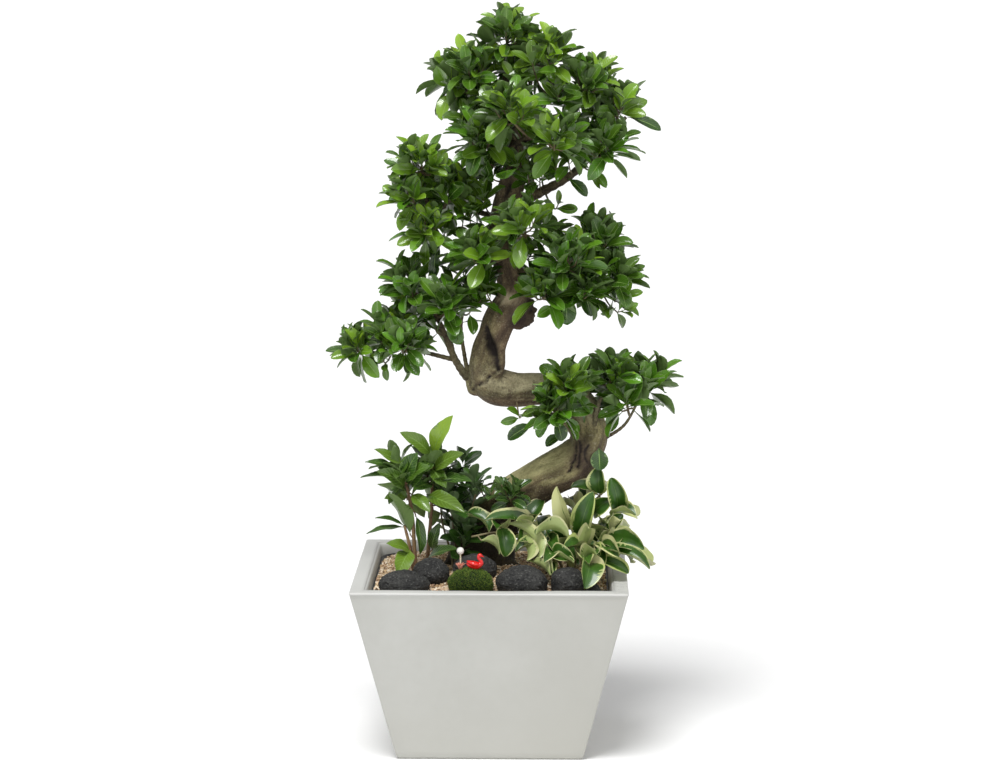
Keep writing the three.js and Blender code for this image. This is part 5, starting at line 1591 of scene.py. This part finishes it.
def stones():
    """Lava stones: a ball scaled to three half sizes, its radius uneven by noise, with round pits
    where a place is near one of many seeded points."""
    lava = lava_material()
    for index, (name, (at, size, turn)) in enumerate(STONES.items()):
        draw = np.random.default_rng(60 + index)
        way = ball(int(34 + 1.3 * size[0]), int(60 + 2.2 * size[0]))
        flat = way.reshape(-1, 3)
        count = int(260 * size[0] / 40)
        seeds = unit(draw.normal(size=(count, 3)))
        radius = 0.022 + 0.06 * draw.random(count) ** 2
        gap = np.arccos(np.clip(flat @ seeds.T, -1, 1)) / radius
        pit = np.clip(1 - gap**2, 0, 1).max(1)
        swell = 1 + 0.16 * cloud(flat * 1.3 + index * 5, 51 + index, 2)
        swell = swell + 0.05 * cloud(flat * 7, 77 + index, 3)
        swell = swell + 0.02 * cloud(flat * 28, 91 + index, 2) - 0.045 * pit
        body = flat * np.array(size) * swell[:, None]
        c, s = math.cos(math.radians(turn)), math.sin(math.radians(turn))
        spin = np.array([[c, -s, 0], [s, c, 0], [0, 0, 1]])
        rings = ((body @ spin.T + np.array(at)) * MM).reshape(way.shape)
        mesh = mesh_of(name + "_rock", *loft(rings))
        # The pits, for the lava's painted shade.
        give(mesh, "painted_shade", np.concatenate([pit, [0, 0]]))
        piece(name + "_rock", mesh, [lava], "lava", name)


stones()


def moss():
    """A cushion of moss: a low uneven ball, and thousands of thin pyramids that stand out of it
    and lean by a random turn. tone and youth are 0 at a blade's foot and its own at the tip."""
    draw = np.random.default_rng(17)
    at, size = np.array(MOSS[0], float), np.array(MOSS[1], float) - MOSS_PILE

    def on_ball(way):
        return way * size * (1 + 0.05 * cloud(way * 3, 5, 2))[:, None] + at

    way = ball(60, 90)
    base_verts, base_groups = loft((on_ball(way.reshape(-1, 3)) * MM).reshape(way.shape))
    out = unit(draw.normal(size=(MOSS_BLADES, 3)))
    out = out[out[:, 2] > -0.35]
    n = len(out)
    root = on_ball(out)
    lean = unit(unit(out / size) + 0.55 * draw.normal(size=(n, 3)) + 0.15 * UP)
    height = MOSS_HEIGHT["least"] + MOSS_HEIGHT["spread"] * draw.random(n)
    side = unit(np.cross(lean, draw.normal(size=(n, 3))))
    other = np.cross(lean, side)
    corner = np.array([0, 2 * math.pi / 3, 4 * math.pi / 3])[None, :, None]
    foot = root[:, None] + 0.7 * (np.cos(corner) * side[:, None] + np.sin(corner) * other[:, None])
    tip = (root + lean * height[:, None])[:, None]
    blade_verts = (np.concatenate([foot, tip], axis=1) * MM).reshape(-1, 3)
    tets = np.array([(0, 2, 1), (0, 1, 3), (1, 2, 3), (2, 0, 3)])
    faces = (tets[None] + 4 * np.arange(n)[:, None, None]).reshape(-1, 3) + len(base_verts)
    mesh = mesh_of("moss_cushion", np.vstack([base_verts, blade_verts]), base_groups + [faces])
    at_tip = np.array([0.0, 0.0, 0.0, 1.0])
    tone, youth = 0.45 + 0.55 * draw.random(n), (draw.random(n) < 0.2) * 1.0
    for name, values in (("tone", tone), ("youth", youth)):
        give(mesh, name, np.concatenate([np.zeros(len(base_verts)), np.outer(values, at_tip).ravel()]))
    piece("moss_cushion", mesh, [moss_material()], "moss", "moss_ball")


moss()


# Bird figure, bead, stick and flower


def bird():
    """A small swan in one skin: a body drawn out to a raised tail, folded wings, a neck that curves
    up and over to a head with a bill, and a peg below that stands in the moss."""
    x, y, z = BIRD_AT

    def part(points, radii, sides=20):
        rows = [(x + dx, y + dy, z + dz, r) for (dx, dy, dz), r in zip(points, radii)]
        return limb(curve(rows, 24) * MM, sides)

    shapes = [
        part([(-15, 0, 4), (-10, 0, 1), (-2, 0, 0), (5, 0, 0), (9, 0, 0.5)], [0.8, 4.2, 6.4, 5.6, 3.4]),
        part(
            [(5, 0, 0), (9.5, 0, 3), (9, 0, 7), (6, 0, 10.5), (5, 0, 14), (7, 0, 16.6), (10, 0, 15.8)],
            [4.4, 3.8, 3.0, 2.7, 2.9, 3.4, 2.4],
        ),
        part([(9, 0, 15.9), (12, 0, 14.6), (14.4, 0, 13.2)], [2.0, 1.3, 0.5], 12),
        part([(0, 0, -14), (0, 0, -6), (0, 0, 0)], [1.5, 1.5, 1.5], 12),
    ]
    for side in (-1, 1):
        wing = [(5, 3.6, 1.5), (-1, 5.6, 2.6), (-8, 4.4, 4.4), (-14.5, 2.2, 7.2)]
        shapes.append(part([(dx, dy * side, dz) for dx, dy, dz in wing], [2.2, 3.4, 2.6, 0.8], 14))
    verts, faces = remeshed("bird", *joined(shapes), BIRD_VOXEL)
    mesh = mesh_of("bird_body", relaxed(verts, edges_of(faces), 4, 0.6), faces)
    reds = (0.62, 0.006, 0.008), (0.80, 0.018, 0.014)
    red = plain_material("red_resin", *reds, 120.0, 0.26, 0.15, 0.0003, Coat_Weight=0.5)
    piece("bird_body", mesh, [red], "red_resin", "bird_figure")


bird()


def bead_and_stick():
    """A pearly ball on a thin round stick that bows by a third of a millimetre."""
    x, y, z, r = BEAD["x"], BEAD["y"], BEAD["z"], BEAD["radius"]
    rings = (ball(22, 36) * r + (x, y, z)) * MM
    whites, sheen = ((0.74, 0.71, 0.66), (0.82, 0.80, 0.76)), {"Coat_Weight": 0.6, "Sheen_Weight": 0.2}
    pearl = plain_material("pearl", *whites, 60.0, 0.22, 0.05, 0.0002, **sheen)
    piece("pearl_bead", mesh_of("pearl_bead", *loft(rings)), [pearl], "pearl", "bead")
    path = curve(scaled([(x, y, BEAD["foot"]), (x + 0.3, y, 325), (x, y, z - 2)]), 16)
    verts, groups = tube(path, np.full(16, BEAD["stick"] * MM), 14)
    creams = (0.58, 0.50, 0.34), (0.72, 0.66, 0.50)
    cream = plain_material("stick_cream", *creams, 300.0, 0.5, 0.3, 0.0003)
    piece("bead_stalk", mesh_of("bead_stalk", verts, groups), [cream], "stick", "bead_stick")


bead_and_stick()


def flower():
    """A small cup-shaped flower: two rounds of pointed petals that rise and open from a low cup."""
    x, y, z = BEAD["x"], BEAD["y"], FLOWER["z"]
    rows = []
    for ring, (count, reach, height, width) in enumerate(FLOWER["petals"]):
        for k in range(count):
            turn = 2 * math.pi * (k + 0.5 * ring) / count
            way = np.array([math.cos(turn), math.sin(turn), 0])
            foot = np.array([x, y, z + 0.5]) + way * 1.5
            tip = np.array([x, y, z + height]) + way * reach
            rows.append((foot, tip, UP * 0.5 - way, width))
    petals = blades(leaf_rows(rows), ELLIPTIC, 9, 0.04, 0.00035, 0.42, 0.6, seed=5)[:2]
    cup = curve([(x, y, z - 0.5, 1.7), (x, y, z + 1.4, 2.9), (x, y, z + 3.2, 2.2)], 10) * MM
    mesh = mesh_of("lotus_flower", *joined([petals, limb(cup, 20)]))
    corals = (0.72, 0.20, 0.13), (0.86, 0.42, 0.32)
    coral = plain_material("coral_petals", *corals, 260.0, 0.45, 0.2, 0.0003)
    piece("lotus_flower", mesh, [coral], "coral_flower", "stick_flower")


flower()


# Low plants


def plant_stems(stems, first, last, sides):
    """A tube along each stem, whose radius shrinks evenly and swells a little at the knots."""
    knots = 1 + 0.10 * np.maximum(0, np.sin(np.arange(26) * 1.3)) ** 4
    radii = evenly(first, last, 26) * knots
    return [tube(curve(scaled(points), 26), radii, sides) for points in stems]


def tufts(stems, spots, count, length, width, seed, young):
    """Leaves in tufts on given stems: each spot is a stem's number, how far up it the tuft stands
    and how far it leans out."""
    draw = np.random.default_rng(seed)
    rows, youth = [], []
    for number, share, lean in spots:
        path = curve(scaled(stems[number]), 26)
        at = path[int(share * 25)]
        way = unit(unit(draw.normal(size=3)) * (1, 1, 0.2) * lean + UP)
        shoot = curve([at, at + 0.010 * way, at + 0.022 * unit(way + 0.5 * UP)], 8)
        more, ages = shoot_leaves(shoot, count, length, width, 6 * draw.random(), draw, young)
        rows += more
        youth += ages
    return rows, youth


def petioles(rows, stems, radius):
    """A thin stalk from the nearest place on the stems to each leaf's foot, where they lie apart."""
    line = np.vstack([curve(scaled(points), 60) for points in stems])
    made = []
    for foot, tip in zip(rows[:, 0:3], rows[:, 3:6]):
        start = line[np.argmin(np.linalg.norm(line - foot, axis=1))]
        if np.linalg.norm(foot - start) > 1.5 * radius:
            way = tip - foot
            path = curve([start, 0.5 * (start + foot) - 0.1 * way, foot, foot + 0.06 * way], 9)
            made.append(tube(path, np.full(9, radius), 6))
    return made


def broadleaf():
    """The young plant: toothed pointed leaves at their places, and tufts of smaller ones."""
    draw = np.random.default_rng(71)
    extra, ages = tufts(BROADLEAF_STEMS, BROADLEAF_TUFTS, 6, 0.056, 0.027, 73, 0.2)
    rows = np.vstack([leaf_rows(BROADLEAF_LEAVES), np.array(extra)])
    margin = {"twist": 0.35, "wave": 0.12, "teeth": 15, "tooth": 0.08}
    mesh = blades(rows, POINTED, 20, 0.12, 0.0006, 0.30, 0.8, 72, **margin)
    tone = 0.55 * draw.random(len(rows))
    others = 0.35 * draw.random(len(BROADLEAF_LEAVES) - len(BROADLEAF_YOUTH)) ** 3
    youth = np.concatenate([BROADLEAF_YOUTH, others, ages])
    youth[list(BROADLEAF_FRESH)] = 0.45
    stems = plant_stems(BROADLEAF_STEMS, 3.9, 2.2, 12) + petioles(rows, BROADLEAF_STEMS, 1.1 * MM)
    leafy("broad_leaves", [BROAD_LEAF, RED_STEM], "broad_leaf", "broadleaf_plant", mesh, tone, youth, stems)


def shrub():
    """The dark shrub: small blunt leaves in tufts all along four stems."""
    rows, youth = tufts(SHRUB_STEMS, SHRUB_TUFTS, 8, 0.046, 0.024, 83, 0.35)
    mesh = blades(np.array(rows), OBOVATE, 6, 0.12, 0.0005, 0.25, 0.5, twist=0.4, wave=0.05, seed=82)
    tone = np.random.default_rng(81).random(len(rows))
    stems = plant_stems(SHRUB_STEMS, 2.3, 1.4, 8)
    youth = np.array(youth)
    leafy("shrub_leaves", [SHRUB_LEAF, TWIG], "shrub_leaf", "dark_shrub", mesh, tone, youth, stems)


def wax():
    """The cream-edged plant: thick folded leaves at their places, and more round each stem, turned
    by the golden angle and a random share of a turn."""
    rows = leaf_rows(WAX_LEAVES)
    draw = np.random.default_rng(91)
    extra = []
    shares, length, width = WAX_MORE
    for points in WAX_STEMS:
        path = curve(scaled(points), 26)
        for k, share in enumerate(shares):
            at = path[int(share * 25)]
            turn = 6.28 * draw.random() + k * GOLDEN_ANGLE
            way = np.array([math.cos(turn), math.sin(turn), 0.15 + 0.7 * draw.random()])
            tip = at + unit(way) * length * (0.8 + 0.4 * draw.random())
            extra.append([*at, *tip, *(0.4 * way + UP), width])
    rows[:, 3:6] += WAX_LONGER * (rows[:, 3:6] - rows[:, 0:3])
    rows = np.vstack([rows * ([1] * 9 + [WAX_WIDER]), np.array(extra)])
    mesh = blades(rows, ELLIPTIC, 16, 0.08, 0.0011, 0.50, 1.2, 92, curl=0.32, twist=0.6, wave=0.16)
    tone = 0.8 * draw.random(len(rows))
    tone[list(WAX_CREAM)] = 1.0
    youth = draw.random(len(rows))
    stems = plant_stems(WAX_STEMS, 2.7, 1.6, 10) + petioles(rows, WAX_STEMS, 1.2 * MM)
    leafy("wax_leaves", [WAX_LEAF, WAX_STEM], "wax_leaf", "wax_plant", mesh, tone, youth, stems)


broadleaf()
shrub()
wax()


# Floor and light


def stage():
    """A wide pale floor, an even white sky, and two broad soft suns."""
    rings = square_rings([(FLOOR_HALF, -8, 10), (FLOOR_HALF, 0, 10)], 3)[:, ::-1]
    slab = mesh_of("floor", *loft(rings), smooth=False)
    greys = (0.90, 0.90, 0.90), (0.92, 0.92, 0.92)
    slab.materials.append(plain_material("floor", *greys, 2.0, 0.9, 0.0, 0.001, Specular_IOR_Level=0.0))
    floor = put("floor", slab)
    world = bpy.data.worlds.new("studio")
    bpy.context.scene.world = world
    world.use_nodes = True
    sky = world.node_tree.nodes["Background"].inputs
    sky[0].default_value = (1, 1, 1, 1)
    sky[1].default_value = SKY_STRENGTH
    for name, way, spread, strength in SUNS:
        sun = put(name, bpy.data.lights.new(name, "SUN"))
        sun.data.angle = math.radians(spread)
        sun.data.energy = strength
        way = unit(np.array(way, float))
        sun.rotation_euler = (math.acos(-way[2]), 0, math.atan2(way[1], way[0]) - math.pi / 2)
    bpy.context.scene.view_settings.view_transform = "Standard"


stage()
